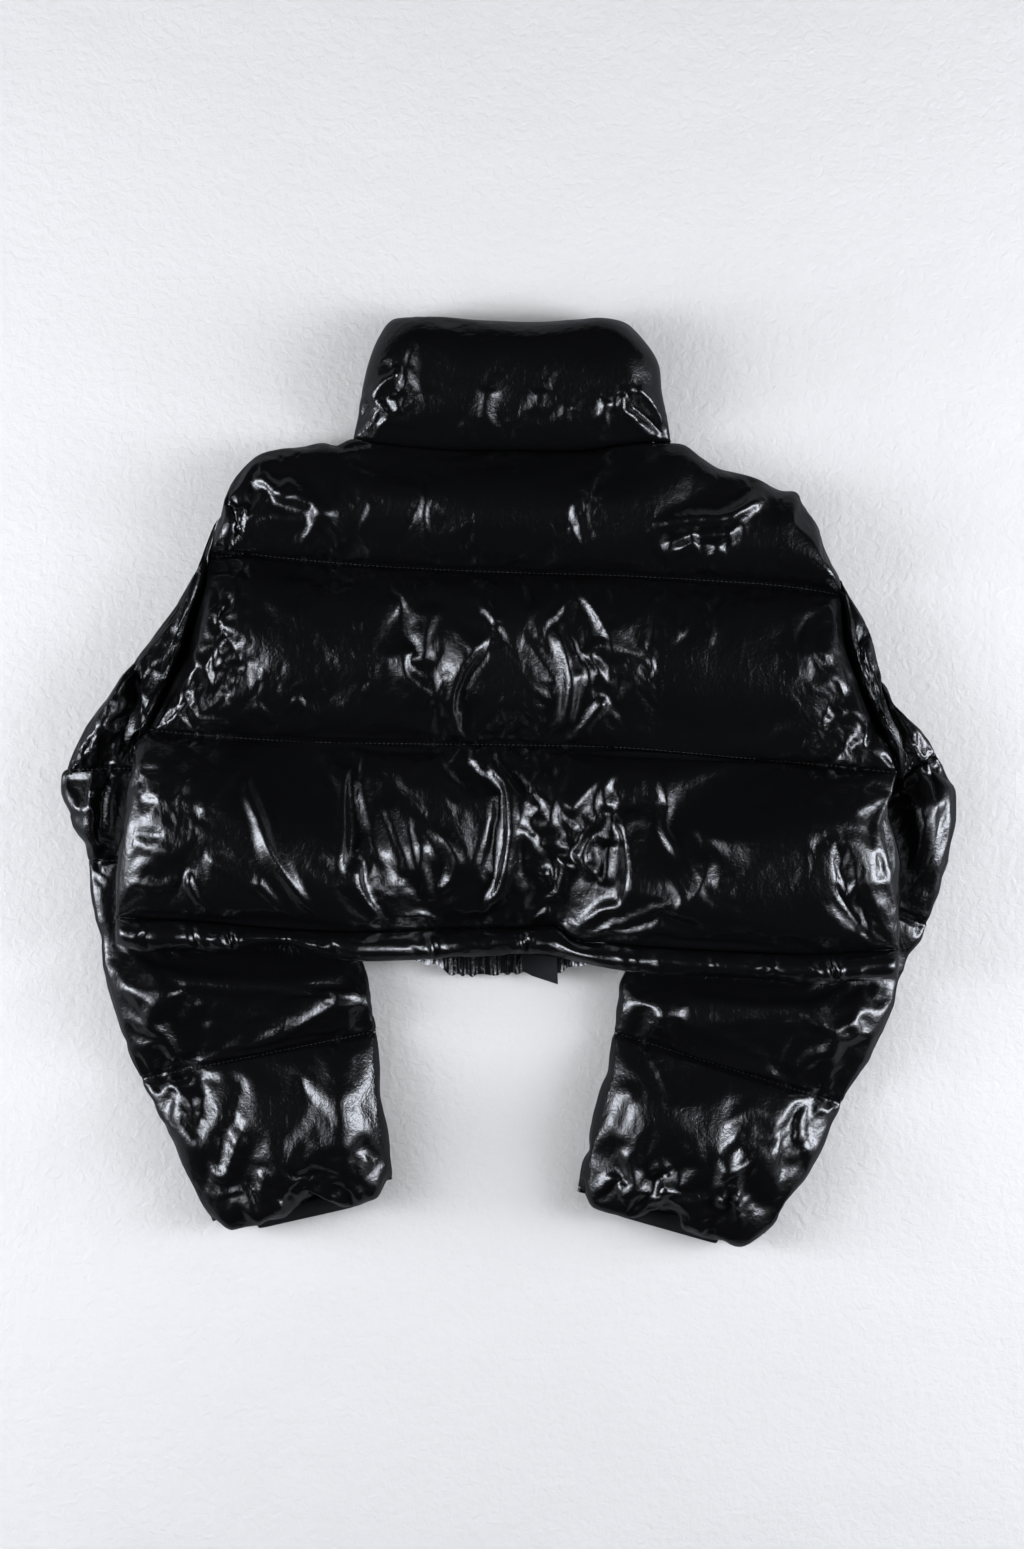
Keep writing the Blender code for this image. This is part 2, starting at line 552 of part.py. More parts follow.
def make_cuff(name, rows, cloth):
    """A narrow elastic binding, gathered all round."""
    first, last = rows
    across = np.linspace(0, 1, 2 * CUFF_GATHERS + 1)
    down = np.array([0.0, 0.45, 1.0])
    start = np.array([first.outer_x, first.outer_y]), np.array([first.inner_x, first.inner_y])
    end = np.array([last.outer_x, last.outer_y]), np.array([last.inner_x, last.inner_y])
    outer = start[0] + (end[0] - start[0]) * down[:, None]
    inner = start[1] + (end[1] - start[1]) * down[:, None]
    plan = outer[:, None] + (inner - outer)[:, None] * across[None, :, None]
    from_edge = side_distance(plan)
    fullness = rolled(from_edge, 9.0)
    gather = 1.6 * (np.arange(len(across)) % 2) * np.array([0.2, 1.0, 0.4])[:, None]
    thick = (HOLLOW + EDGE + gather) * fullness
    top, bottom = CUFF_LEVEL + thick, CUFF_LEVEL - thick
    return tube(name, plan, top, CUFF_LEVEL, bottom, HOLLOW * fullness, cloth, inset=6.0)


def make_collar(cloth):
    """A padded wall from one side of the zip round to the other, flattened. The neck opens at its top."""
    rows = np.array([0.0, 0.07, 0.22, 0.42, 0.62, 0.8, 0.93, 1.0])
    shares = spread(12, [0.0, 0.03, 0.09])
    back = patch(COLLAR_TOP, BACK_NECK, backwards(COLLAR_LEFT), backwards(COLLAR_RIGHT), shares, 1 - rows)
    back[..., 1] += 2 * SEAM_GAP
    front = back.copy()
    left = front[:, shares < 0.5]
    right = front[:, shares > 0.5]
    for half, edge, side in ((left, left[:, -1], -1), (right, right[:, 0], 1)):
        edge[:, 0] = zip_x(edge[:, 1]) + side * CHANNEL
        half[..., 1] -= neck_drop(half[..., 0]) * (1 - rows)[:, None]
        edge[:, 0] = zip_x(edge[:, 1]) + side * CHANNEL
    quilting = quilted(rows)[:, None]
    level = INSIDE
    top = level + (HOLLOW + EDGE + COLLAR_LOFT * quilting) * rolled(side_distance(back))
    halves = []
    for half, fold in ((left, 0), (right, -1)):
        fullness = np.clip(1.25 * quilting * rolled(side_distance(half), 22), 0, 1)
        depth = HOLLOW + EDGE + (level - HOLLOW - EDGE) * fullness
        depth[:, fold] = 0
        halves.append(with_height(half, level - depth))
    outer = np.concatenate([halves[0][:, :0:-1], with_height(back, top), halves[1][:, -2::-1]], axis=1)
    inner = outer.copy()
    inner[..., 0] -= FOLD_WALL * (outer[..., 0] / COLLAR_RIGHT[0].x) ** 3
    heights = np.full(outer.shape[:-1], level + HOLLOW)
    n, m = left.shape[1] - 1, back.shape[1]
    heights[:, :n] = level - HOLLOW
    heights[:, n + m:] = level - HOLLOW
    heights[:, n] = level
    heights[:, n + m - 1] = level
    inner[..., 2] = heights
    return wall("collar", outer, inner, cloth)


# The zip


def strip(name, left, right, above, thickness, finish, across):
    """A flat strip along the zip, so far above the middle of the hollow. Left and right are its two edges."""
    plan = left[:, None] + (right - left)[:, None] * np.linspace(0, 1, across)[None, :, None]
    top = underside(plan) + INSIDE - hem_drop(plan) + above
    return wall(name, with_height(plan, top), with_height(plan, top - thickness), finish)


def make_tape(side, name, finish):
    """The two tapes lie edge to edge up to the slider, and apart above its neck."""
    y = np.array([r.y for r in TAPE_ROWS])
    inner = zip_x(y) + side * np.array([r.from_middle for r in TAPE_ROWS])
    outer = zip_x(y) + side * (CHANNEL - TAPE_GAP)
    left, right = np.stack([inner, y], axis=1), np.stack([outer, y], axis=1)
    return strip(name, left, right, -HOLLOW - TAPE_GAP, TAPE, finish, across=2)


def make_wind_flap(finish):
    """A strip behind the zip. Its lower corner shows below the hem."""
    y, left, right, rise = np.array(FLAP_ROWS, float).T
    left, right = np.stack([left, y + rise], axis=1), np.stack([right, y], axis=1)
    return strip("wind_flap", left, right, FLAP / 2, FLAP, finish, across=4)


def block(name, size, offset, at, finish, corner=0.3, turn=0.0):
    """A box with rounded edges, at an offset from its object's place, which turns about its own X axis."""
    bm = bmesh.new()
    bmesh.ops.create_cube(bm, size=1.0)
    bmesh.ops.scale(bm, vec=[side * MM for side in size], verts=bm.verts)
    bmesh.ops.bevel(bm, geom=bm.edges[:], offset=corner * MM, segments=2, profile=0.5, affect="EDGES",
                    material=-1)
    bmesh.ops.translate(bm, vec=[c * MM for c in offset], verts=bm.verts)
    obj = placed(name, bm, finish)
    obj.location = [c * MM for c in at]
    obj.rotation_euler.x = turn
    return obj


def combined(base, operation, others):
    """A Boolean of a solid with others, which then stay hidden."""
    for other in others:
        step = base.modifiers.new(other.name, "BOOLEAN")
        step.operation = operation
        step.solver = "EXACT"
        step.object = other
        other.hide_render = True
        other.display_type = "WIRE"
    return base


def make_slider(metal):
    """Two plates on either side of the teeth, a neck between the tapes, and a bridge for the pull."""
    at = (HINGE[0], HINGE[1], INSIDE - HOLLOW - TAPE_GAP - TAPE / 2)
    lower = block("zip_slider", (8.0, 11.0, 1.2), (0, 0, -2.3), at, metal)
    rest = [block("slider_upper_plate", (8.0, 10.0, 1.2), (0, 0, 2.3), at, metal),
            block("slider_neck", (1.6, 2.6, 5.0), (0, 3.6, 0), at, metal),
            block("slider_bridge", (1.6, 6.4, 1.2), (0, 0, -5.9), at, metal)]
    for end in (-2.5, 2.5):
        rest.append(block("slider_bridge_leg", (1.6, 1.4, 4.6), (0, end, -4.6), at, metal))
    return combined(lower, "UNION", rest)


def make_pull(metal):
    """A flat tab that hangs from the bridge. Its tip rests just above what the jacket lies on."""
    turned = {"at": HINGE, "finish": metal, "turn": PULL_TILT}
    tab = block("zip_pull", (PULL_WIDTH, PULL_LENGTH, 1.4), (0, 0.7 - PULL_LENGTH / 2, 0), corner=0.4, **turned)
    eye = block("pull_eye", (3.4, 4.4, 3.0), (0, -2.9, 0), corner=0.2, **turned)
    hold = block("pull_hole", (2.6, 5.0, 3.0), (0, 5.2 - PULL_LENGTH, 0), corner=0.5, **turned)
    return combined(tab, "DIFFERENCE", [eye, hold])


def main():
    for obj in list(bpy.data.objects):
        bpy.data.objects.remove(obj)
    cloth = material("glossy_nylon", (0.008, 0.008, 0.010), 0.22)
    elastic = material("elastic_knit", (0.012, 0.012, 0.013), 0.7)
    tape = material("zip_tape", (0.01, 0.01, 0.011), 0.6)
    metal = material("black_metal", (0.02, 0.02, 0.022), 0.3, metallic=1.0)
    make_back(cloth)
    make_front(-1, "front_left", cloth)
    make_front(1, "front_right", cloth)
    make_back_hem(cloth)
    make_front_hem(-1, "hem_front_left", cloth)
    make_front_hem(1, "hem_front_right", cloth)
    make_sleeve("sleeve_left", LEFT_SLEEVE, armhole_edge(0), cloth)
    make_sleeve("sleeve_right", RIGHT_SLEEVE, armhole_edge(-1), cloth)
    make_cuff("cuff_left", LEFT_CUFF, elastic)
    make_cuff("cuff_right", RIGHT_CUFF, elastic)
    make_collar(cloth)
    make_tape(-1, "zip_tape_left", tape)
    make_tape(1, "zip_tape_right", tape)
    make_wind_flap(cloth)
    make_slider(metal)
    make_pull(metal)


main()
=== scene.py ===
# Cropped puffer jacket lying on its front: the cloth, sewing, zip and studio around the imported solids.
# Tables are in millimetres on the same plan as the solids: collar towards +Y, the wearer's left towards -X.
import math
import random

import bmesh
import bpy
import numpy as np
from mathutils import Matrix, Vector, noise


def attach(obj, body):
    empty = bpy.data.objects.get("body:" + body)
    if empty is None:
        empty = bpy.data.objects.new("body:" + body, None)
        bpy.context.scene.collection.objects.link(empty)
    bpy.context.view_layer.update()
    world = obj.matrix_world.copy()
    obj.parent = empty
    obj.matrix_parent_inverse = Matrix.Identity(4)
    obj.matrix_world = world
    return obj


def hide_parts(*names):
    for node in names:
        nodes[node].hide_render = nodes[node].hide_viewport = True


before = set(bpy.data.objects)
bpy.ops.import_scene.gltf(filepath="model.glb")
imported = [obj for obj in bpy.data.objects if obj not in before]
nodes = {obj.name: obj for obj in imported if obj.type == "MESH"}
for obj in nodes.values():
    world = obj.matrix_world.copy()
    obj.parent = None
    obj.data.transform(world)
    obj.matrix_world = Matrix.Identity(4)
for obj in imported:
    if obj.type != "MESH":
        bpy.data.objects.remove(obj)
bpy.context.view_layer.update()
mm = 0.001

# What every piece shares, so that they meet at the same seams and levels
jacket = {
    "edge": 2.0,  # a panel's thickness where sewing holds it flat
    "hollow": 1.6,  # half the flat space inside the body and sleeves
    "seamGap": 0.5,
    "inside": 24.0,  # the level between the fronts and the back
    "lift": 32.0,  # how far a sleeve under the body lifts it
    "ramp": 84.0,
    "zipTop": 2.0,
    "zipHem": 32.0,
    "channel": 8.0,
    "floorGap": 0.15,
}

leftShoulder = [(-233, 215), (-229, 223), (-224, 239), (-216, 251), (-201, 266), (-183, 271), (-167, 273),
                (-148, 276), (-140, 274), (-127, 279)]
backNeck = [(-127, 279), (-110, 276), (-64, 271), (0, 270), (64, 270), (90, 274), (112, 276), (129, 276)]
rightShoulder = [(129, 276), (138, 275), (154, 264), (169, 255), (178, 253), (200, 246), (217, 238),
                 (230, 236), (234, 228), (247, 208), (252, 190), (263, 168)]
yokeSeam = [(-242, 186), (-229, 185), (-210, 187), (-191, 185), (-128, 179), (-65, 175), (8, 172),
            (82, 170), (155, 166), (222, 161), (250, 157), (266, 154)]
chestSeam = [(-287, 46), (-270, 44), (-234, 41), (-174, 37), (-82, 35), (8, 34), (88, 32), (182, 24),
             (250, 18), (284, 14), (306, 12)]
hemSeam = [(-311, -102), (-290, -103), (-247, -105), (-194, -110), (-144, -113), (-60, -113), (8, -112),
           (40, -112), (48, -119), (82, -123), (136, -127), (176, -129), (234, -131), (307, -127)]
hemEdge = [(-311, -123), (-297, -128), (-258, -128), (-216, -130), (-202, -126), (-171, -125), (-154, -131),
           (-126, -136), (-86, -137), (-24, -136), (11, -134), (46, -137), (62, -140), (94, -145),
           (164, -149), (210, -152), (234, -155), (281, -152), (306, -151)]
leftArmholeTop = [(-233, 215), (-237, 202), (-242, 186)]
leftArmhole = [(-242, 186), (-243, 162), (-247, 150), (-258, 114), (-276, 70), (-287, 46)]
leftSide = [(-287, 46), (-294, 37), (-298, 16), (-303, -15), (-308, -52), (-310, -76), (-311, -102)]
rightArmholeTop = [(263, 168), (266, 154)]
rightArmhole = [(266, 154), (268, 110), (275, 89), (284, 67), (292, 48), (301, 33), (306, 12)]
rightSide = [(306, 12), (300, -6), (298, -18), (304, -40), (307, -52), (307, -87), (307, -127)]

leftSleeve = [  # outer edge's x, y, inner edge's x, y, share of the armhole's bow, padding, level
    (-234, 215, -288, 46, 1.0, 0, 24),
    (-264, 148, -293, 38, 0.7, 26, 27),
    (-314, 78, -296, 30, 0.3, 26, 29),
    (-357, 14, -288, 16, 0.1, 0, 19),
    (-352, -26, -266, -16, 0.0, 26, 19),
    (-339, -60, -206, -51, 0.0, 0, 19),
    (-331, -114, -140, -90, 0.0, 31, 19),
    (-317, -170, -113, -158, 0.0, 31, 19),
    (-296, -234, -108, -196, 0.0, 0, 19),
    (-265, -290, -101, -262, 0.0, 31, 19),
    (-240, -350, -95, -316, 0.0, 0, 12),
]
rightSleeve = [
    (263, 168, 307, 12, 1.0, 0, 24),
    (284, 129, 310, 6, 0.7, 26, 27),
    (303, 72, 312, -2, 0.3, 26, 29),
    (342, 27, 298, -6, 0.1, 0, 19),
    (357, -28, 276, -26, 0.0, 26, 19),
    (335, -111, 200, -62, 0.0, 0, 19),
    (316, -146, 128, -100, 0.0, 31, 19),
    (300, -190, 92, -154, 0.0, 31, 19),
    (266, -254, 84, -197, 0.0, 0, 19),
    (235, -312, 68, -258, 0.0, 31, 19),
    (206, -360, 54, -326, 0.0, 0, 12),
]


def smoothCurve(points, shares):  # points at these shares of a smooth curve's length
    knots = np.array(points, float)
    chords = np.linalg.norm(np.diff(knots, axis=0), axis=1)
    at = np.concatenate([[0.0], np.cumsum(chords)])
    if len(knots) > 2:
        slopes = np.gradient(knots, at, axis=0)
    else:
        slopes = np.repeat(np.diff(knots, axis=0) / chords[0], 2, 0)
    fine = np.linspace(0.0, at[-1], 30 * len(knots))
    k = np.clip(np.searchsorted(at, fine, side="right") - 1, 0, len(chords) - 1)
    span = chords[k][:, None]
    s = ((fine - at[k]) / chords[k])[:, None]
    curve = ((1 + 2 * s) * (1 - s) ** 2 * knots[k] + s * (1 - s) ** 2 * span * slopes[k]
             + s * s * (3 - 2 * s) * knots[k + 1] + s * s * (s - 1) * span * slopes[k + 1])
    lengths = np.concatenate([[0.0], np.cumsum(np.linalg.norm(np.diff(curve, axis=0), axis=1))])
    wanted = np.asarray(shares) * lengths[-1]
    return np.stack([np.interp(wanted, lengths, curve[:, k]) for k in range(curve.shape[1])], axis=1)


def patch(top, bottom, left, right, across, down):  # plan points that meet four edge curves
    u = np.asarray(across)[None, :, None]
    v = np.asarray(down)[:, None, None]
    t, b = smoothCurve(top, across)[None], smoothCurve(bottom, across)[None]
    l, r = smoothCurve(left, down)[:, None], smoothCurve(right, down)[:, None]
    corners = ((1 - u) * (1 - v) * t[:, :1] + u * (1 - v) * t[:, -1:]
               + (1 - u) * v * b[:, :1] + u * v * b[:, -1:])
    return (1 - v) * t + v * b + (1 - u) * l + u * r - corners


def spacing(count, closer=0.4):  # shares from 0 to 1, closer together at both ends
    t = np.linspace(0, 1, count)
    return (1 - closer) * t + closer * (1 - np.cos(math.pi * t)) / 2


def smoothStep(x):
    x = np.clip(x, 0.0, 1.0)
    return x * x * (3 - 2 * x)


def rolled(distance, width):
    return np.sqrt(1 - (1 - np.clip(distance / width, 0.0, 1.0)) ** 2)


def quilted(share, power=0.6):
    return np.sin(math.pi * np.clip(share, 0.0, 1.0)) ** power


def distanceTo(plan, line):
    starts, sides = line[:-1], np.diff(line, axis=0)
    best = np.full(plan.shape[:-1], 1e9)
    for start, side in zip(starts, sides):
        offset = plan - start
        along = np.clip((offset @ side) / max(side @ side, 1e-9), 0, 1)
        best = np.minimum(best, np.linalg.norm(offset - along[..., None] * side, axis=-1))
    return best


def distanceOutside(plan, outline):
    away = distanceTo(plan, np.concatenate([outline, outline[:1]]))
    x, y = plan[..., 0], plan[..., 1]
    inside = np.zeros(x.shape, bool)
    for a, b in zip(outline, np.roll(outline, -1, axis=0)):
        rise = b[1] - a[1] if abs(b[1] - a[1]) > 1e-9 else 1e-9
        inside ^= ((a[1] > y) != (b[1] > y)) & (x < a[0] + (y - a[1]) * (b[0] - a[0]) / rise)
    return np.where(inside, -away, away)


def zipX(y):  # the zip slants a little from the collar's top to the hem
    share = (372 - np.asarray(y)) / (372 + 125)
    return jacket["zipTop"] + (jacket["zipHem"] - jacket["zipTop"]) * share


def sampled(*curves):
    return np.concatenate([smoothCurve(c, np.linspace(0, 1, 12))[:-1] for c in curves])


bodyOutline = sampled(leftShoulder, backNeck, rightShoulder, rightArmholeTop, rightArmhole, rightSide,
                      [hemSeam[-1], hemEdge[-1]], hemEdge[::-1], [hemEdge[0], hemSeam[0]],
                      leftSide[::-1], leftArmhole[::-1], leftArmholeTop[::-1])
closedEdges = [sampled(leftShoulder), sampled(rightShoulder), sampled(leftSide, [hemSeam[0], hemEdge[0]]),
               sampled(rightSide, [hemSeam[-1], hemEdge[-1]])]


def forearmOutline(rows):
    lying = rows[3:]
    return np.array([r[0:2] for r in lying] + [r[2:4] for r in lying[::-1]], float)


def underside(plan):  # the level that the body lies on: the floor, or the sleeves under it
    lifts = [1 - smoothStep(distanceOutside(plan, forearmOutline(rows)) / jacket["ramp"])
             for rows in (leftSleeve, rightSleeve)]
    return jacket["lift"] * np.maximum(*lifts)


def hollow(plan):
    away = np.min([distanceTo(plan, edge) for edge in closedEdges], axis=0)
    least = jacket["seamGap"] / 2
    return least + (jacket["hollow"] - least) * rolled(away, 14.0)


def sideDistance(plan):
    steps = np.linalg.norm(np.diff(plan, axis=1), axis=-1)
    run = np.concatenate([np.zeros((len(plan), 1)), np.cumsum(steps, axis=1)], axis=1)
    return np.minimum(run, run[:, -1:] - run)


def withHeight(plan, height):
    return np.concatenate([plan, np.broadcast_to(height, plan.shape[:-1])[..., None]], axis=-1)


def tube(plan, above, below):  # one sheet round a tube: along its top and back along its underside
    sheet = np.concatenate([withHeight(plan, above), withHeight(plan, below)[:, -2::-1]], axis=1)
    sheet[:, -1] = sheet[:, 0]
    return sheet


def ripples(plan, across, along, seed):  # smooth noise between -1 and 1, with cells this wide and long
    flat = plan.reshape(-1, plan.shape[-1])
    value = [noise.noise(Vector((p[0] / across + seed, p[1] / along - seed, seed * 1.7))) for p in flat]
    return np.array(value).reshape(plan.shape[:-1])


# Ridges and troughs: each has its height, its widths left and right, and its line's points, x and y in turn
def creased(plan, creases):
    total = np.zeros(plan.shape[:-1])
    for height, toLeft, toRight, *places in creases:
        points = np.reshape(places, (-1, 2))
        line = smoothCurve(points, np.linspace(0, 1, 14)) if len(points) > 2 else points.astype(float)
        near = distanceTo(plan, line)
        close = near < 3.0 * max(toLeft, toRight)
        at = plan[close]
        lengths = np.concatenate([[0.0], np.cumsum(np.linalg.norm(np.diff(line, axis=0), axis=1))])
        best, side, share = np.full(len(at), 1e9), np.ones(len(at)), np.zeros(len(at))
        for k in range(len(line) - 1):
            run = line[k + 1] - line[k]
            t = np.clip(((at - line[k]) @ run) / (run @ run), 0, 1)
            off = at - (line[k] + t[:, None] * run)
            d = np.linalg.norm(off, axis=1)
            won = d < best
            best[won] = d[won]
            side[won] = (run[0] * off[:, 1] - run[1] * off[:, 0])[won]
            share[won] = (lengths[k] + t * (lengths[k + 1] - lengths[k]))[won] / lengths[-1]
        width = np.where(side > 0, toLeft, toRight)
        fade = smoothStep(np.minimum(share, 1 - share) / 0.22 + 0.12)
        total[close] += height * fade * np.exp(-(best / width) ** 1.6 * 1.3)
    return total


def tensionLines(seams, count, seed, most):  # fine creases that run away from the seams
    chance = random.Random(seed)
    made = []
    for _ in range(count):
        seam = seams[chance.randrange(len(seams))]
        share = chance.uniform(0.02, 0.96)
        at, beside = smoothCurve(seam, [share, share + 0.02])
        along = (beside - at) / np.linalg.norm(beside - at)
        turn = chance.gauss(0, 0.5) + chance.choice((0.5, -0.5)) * math.pi
        way = np.array([along[0] * math.cos(turn) - along[1] * math.sin(turn),
                        along[0] * math.sin(turn) + along[1] * math.cos(turn)])
        start, length = at + way * chance.uniform(2, 16), chance.uniform(14, 58)
        middle = start + way * length / 2 + along * length * chance.uniform(-0.16, 0.16)
        height = most * chance.uniform(0.35, 1.0) * (1 if chance.random() < 0.7 else -0.8)
        widths = chance.uniform(3, 5), chance.uniform(3, 7)
        made.append((height, *widths, *start, *middle, *(start + way * length)))
    return made


def sewnAt(hold, counts):  # held fast along its edges and at the seams between so many rows
    hold[[0, counts[0] - 1, counts[0] + counts[1] - 2, -1]] = 1.0
    hold[:, [0, -1]] = 1.0
    return hold


def sheetOf(outside, closed):  # a bmesh grid that carries each point's place in its table
    rows, columns = outside.shape[:2]
    bm = bmesh.new()
    place = bm.verts.layers.int.new("place")
    bmesh.ops.create_grid(bm, x_segments=columns - 1, y_segments=rows - 1, size=1.0)
    for i, v in enumerate(bm.verts):
        v[place] = i
    if closed:
        bm.verts.ensure_lookup_table()
        joined = {bm.verts[(r + 1) * columns - 1]: bm.verts[r * columns] for r in range(rows)}
        bmesh.ops.weld_verts(bm, targetmap=joined)
    flat = outside.reshape(-1, 3) * mm
    for v in bm.verts:
        v.co = flat[v[place]]
    return bm, place


def limited(offsets, most):
    far = np.linalg.norm(offsets, axis=-1, keepdims=True)
    return offsets * (most * np.tanh(far / most) / np.maximum(far, 1e-6))


def around(field, reach, closed):  # the mean of the points that are up to so many steps away
    wide = 2 * reach + 1
    if closed:
        field = np.concatenate([field[:, -1 - reach:-1], field, field[:, 1:1 + reach]], axis=1)
    else:
        field = np.pad(field, ((0, 0), (reach, reach), (0, 0)), "edge")
    field = np.pad(field, ((reach, reach), (0, 0), (0, 0)), "edge")
    rows, columns = field.shape[0] - 2 * reach, field.shape[1] - 2 * reach
    field = sum(field[:, k:k + columns] for k in range(wide)) / wide
    return sum(field[k:k + rows] for k in range(wide)) / wide


# Blender's cloth settings for every sheet that is blown up between its seams
clothSettings = {
    "quality": 5,
    "mass": 0.005,
    "air_damping": 1.0,
    "tension_stiffness": 200.0,
    "compression_stiffness": 200.0,
    "shear_stiffness": 5.0,
    "bending_stiffness": 0.001,
    "use_pressure": True,
    "uniform_pressure_force": 0.1,
    "vertex_group_mass": "held",
    "vertex_group_shrink": "tight",
}
folding = {
    "frames": 20,
    "sewn": 8,  # the frame at which cloth that is cut wider has been sewn to its seams
    "nearSeam": 6,  # grid steps within which seams keep their shape
    "fineDetail": 5,  # grid steps that count as detail, which is made crisper
    "mostDetail": 2.5,
    "apart": 5.0,  # how far a point may move away from those beside it
}


def simulated(start, loose, hold, slack, closed, spare, frames):  # where the simulation leaves each point
    bm, _ = sheetOf(start, closed)
    mesh = bpy.data.meshes.new("blown")
    bm.to_mesh(mesh)
    bm.free()
    where = np.zeros(len(mesh.vertices), np.int32)
    mesh.attributes["place"].data.foreach_get("value", where)
    blown = bpy.data.objects.new("blown", mesh)
    bpy.context.scene.collection.objects.link(blown)
    if spare is not None:  # the cloth is cut wider in places and then brought to the width of its seams
        seamed = np.array([v.co for v in mesh.vertices])
        cut = seamed + spare.reshape(-1, 3)[where] * mm
        for shape, points in (("cut", cut), ("sewn", seamed)):
            blown.shape_key_add(name=shape).data.foreach_set("co", points.ravel())
        sewn = mesh.shape_keys.key_blocks["sewn"]
        for f, share in ((1, 0.0), (folding["sewn"], 1.0)):
            sewn.value = share
            sewn.keyframe_insert("value", frame=f)
    held = blown.vertex_groups.new(name="held")
    tight = blown.vertex_groups.new(name="tight")
    for i, (weight, share) in enumerate(zip(hold.ravel()[where], loose.ravel()[where])):
        held.add([i], float(weight), "REPLACE")
        tight.add([i], 1.0 - float(np.clip(share / slack, 0, 1)), "REPLACE")
    cloth = blown.modifiers.new("Cloth", "CLOTH")
    for label, value in clothSettings.items():
        setattr(cloth.settings, label, value)
    cloth.settings.shrink_min = -slack
    cloth.settings.shrink_max = 0.0
    cloth.settings.effector_weights.gravity = 0.0
    cloth.collision_settings.use_collision = False
    scene = bpy.context.scene
    for f in range(1, frames + 1):
        scene.frame_set(f)
    shape = blown.evaluated_get(bpy.context.evaluated_depsgraph_get()).to_mesh()
    co = np.zeros(len(shape.vertices) * 3, np.float32)
    shape.vertices.foreach_get("co", co)
    bpy.data.objects.remove(blown)
    scene.frame_set(1)
    result = start.reshape(-1, 3).copy()
    result[where] = co.reshape(-1, 3) / mm
    return result.reshape(start.shape)


def spareCloth(plan, places):  # how much wider the cloth was cut: x, y, radius, share, direction in degrees
    total = np.zeros(plan.shape[:-1] + (3,))
    for x, y, radius, share, degrees in places:
        off = plan - np.array([x, y])
        way = np.array([math.cos(math.radians(degrees)), math.sin(math.radians(degrees))])
        reach = share * (off @ way) * np.exp(-(np.linalg.norm(off, axis=-1) / radius) ** 2)
        total[..., :2] += reach[..., None] * way
    return total


def slackAt(plan, base, spots):  # spare cloth, as a share: x, y, radius, share
    total = np.full(plan.shape[:-1], base)
    for x, y, radius, share in spots:
        away = np.hypot(plan[..., 0] - x, plan[..., 1] - y) / radius
        total += (share - base) * np.exp(-away ** 2)
    return np.clip(total, 0, 1)


def blownUp(start, hold, piece, closed=False, spared=1.0):  # a sheet blown up by its piece's values
    plan = start[..., :2]
    loose = slackAt(plan, piece["baseSlack"], piece.get("looseSpots", []))
    spare = spareCloth(plan, piece["spare"]) * spared if "spare" in piece else None
    frames = piece.get("frames", folding["frames"])
    result = simulated(start, loose, hold, piece["slack"], closed, spare, frames)
    if closed:
        result[:, -1] = result[:, 0]
    seams = around(hold[..., None], folding["nearSeam"], closed)
    free = around(np.clip(1 - 10 * seams, 0, 1), 3, closed)
    detail = limited(result - around(result, folding["fineDetail"], closed), folding["mostDetail"])
    moved = result + piece.get("crisp", 0.0) * free * detail - start
    beside = around(moved, 1, closed)
    moved = beside + limited(moved - beside, folding["apart"])
    return start + limited(moved, piece["cap"])


def fromMesh(name, bm, smooth=True):
    for face in bm.faces:
        face.smooth = smooth
    mesh = bpy.data.meshes.new(name)
    bm.to_mesh(mesh)
    bm.free()
    piece = bpy.data.objects.new(name, mesh)
    bpy.context.scene.collection.objects.link(piece)
    return piece


def paddedPiece(name, node, outside, lining, closed=False, finer=True):  # a wall that stands for a solid
    bm, place = sheetOf(lining, closed)
    made = bmesh.ops.extrude_face_region(bm, geom=bm.faces[:], use_keep_orig=True)["geom"]
    outer = {v for v in made if isinstance(v, bmesh.types.BMVert)}
    flat = outside.reshape(-1, 3) * mm
    for v in outer:
        v.co = flat[v[place]]
    bmesh.ops.recalc_face_normals(bm, faces=bm.faces[:])
    if finer:
        edges = [e for e in bm.edges if e.verts[0] in outer and e.verts[1] in outer]
        bmesh.ops.subdivide_edges(bm, edges=edges, cuts=1, use_grid_fill=True, smooth=0.8)
    piece = fromMesh(name, bm)
    piece.data.attributes.remove(piece.data.attributes["place"])
    piece.data.set_sharp_from_angle(angle=math.radians(60))
    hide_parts(node)
    return piece


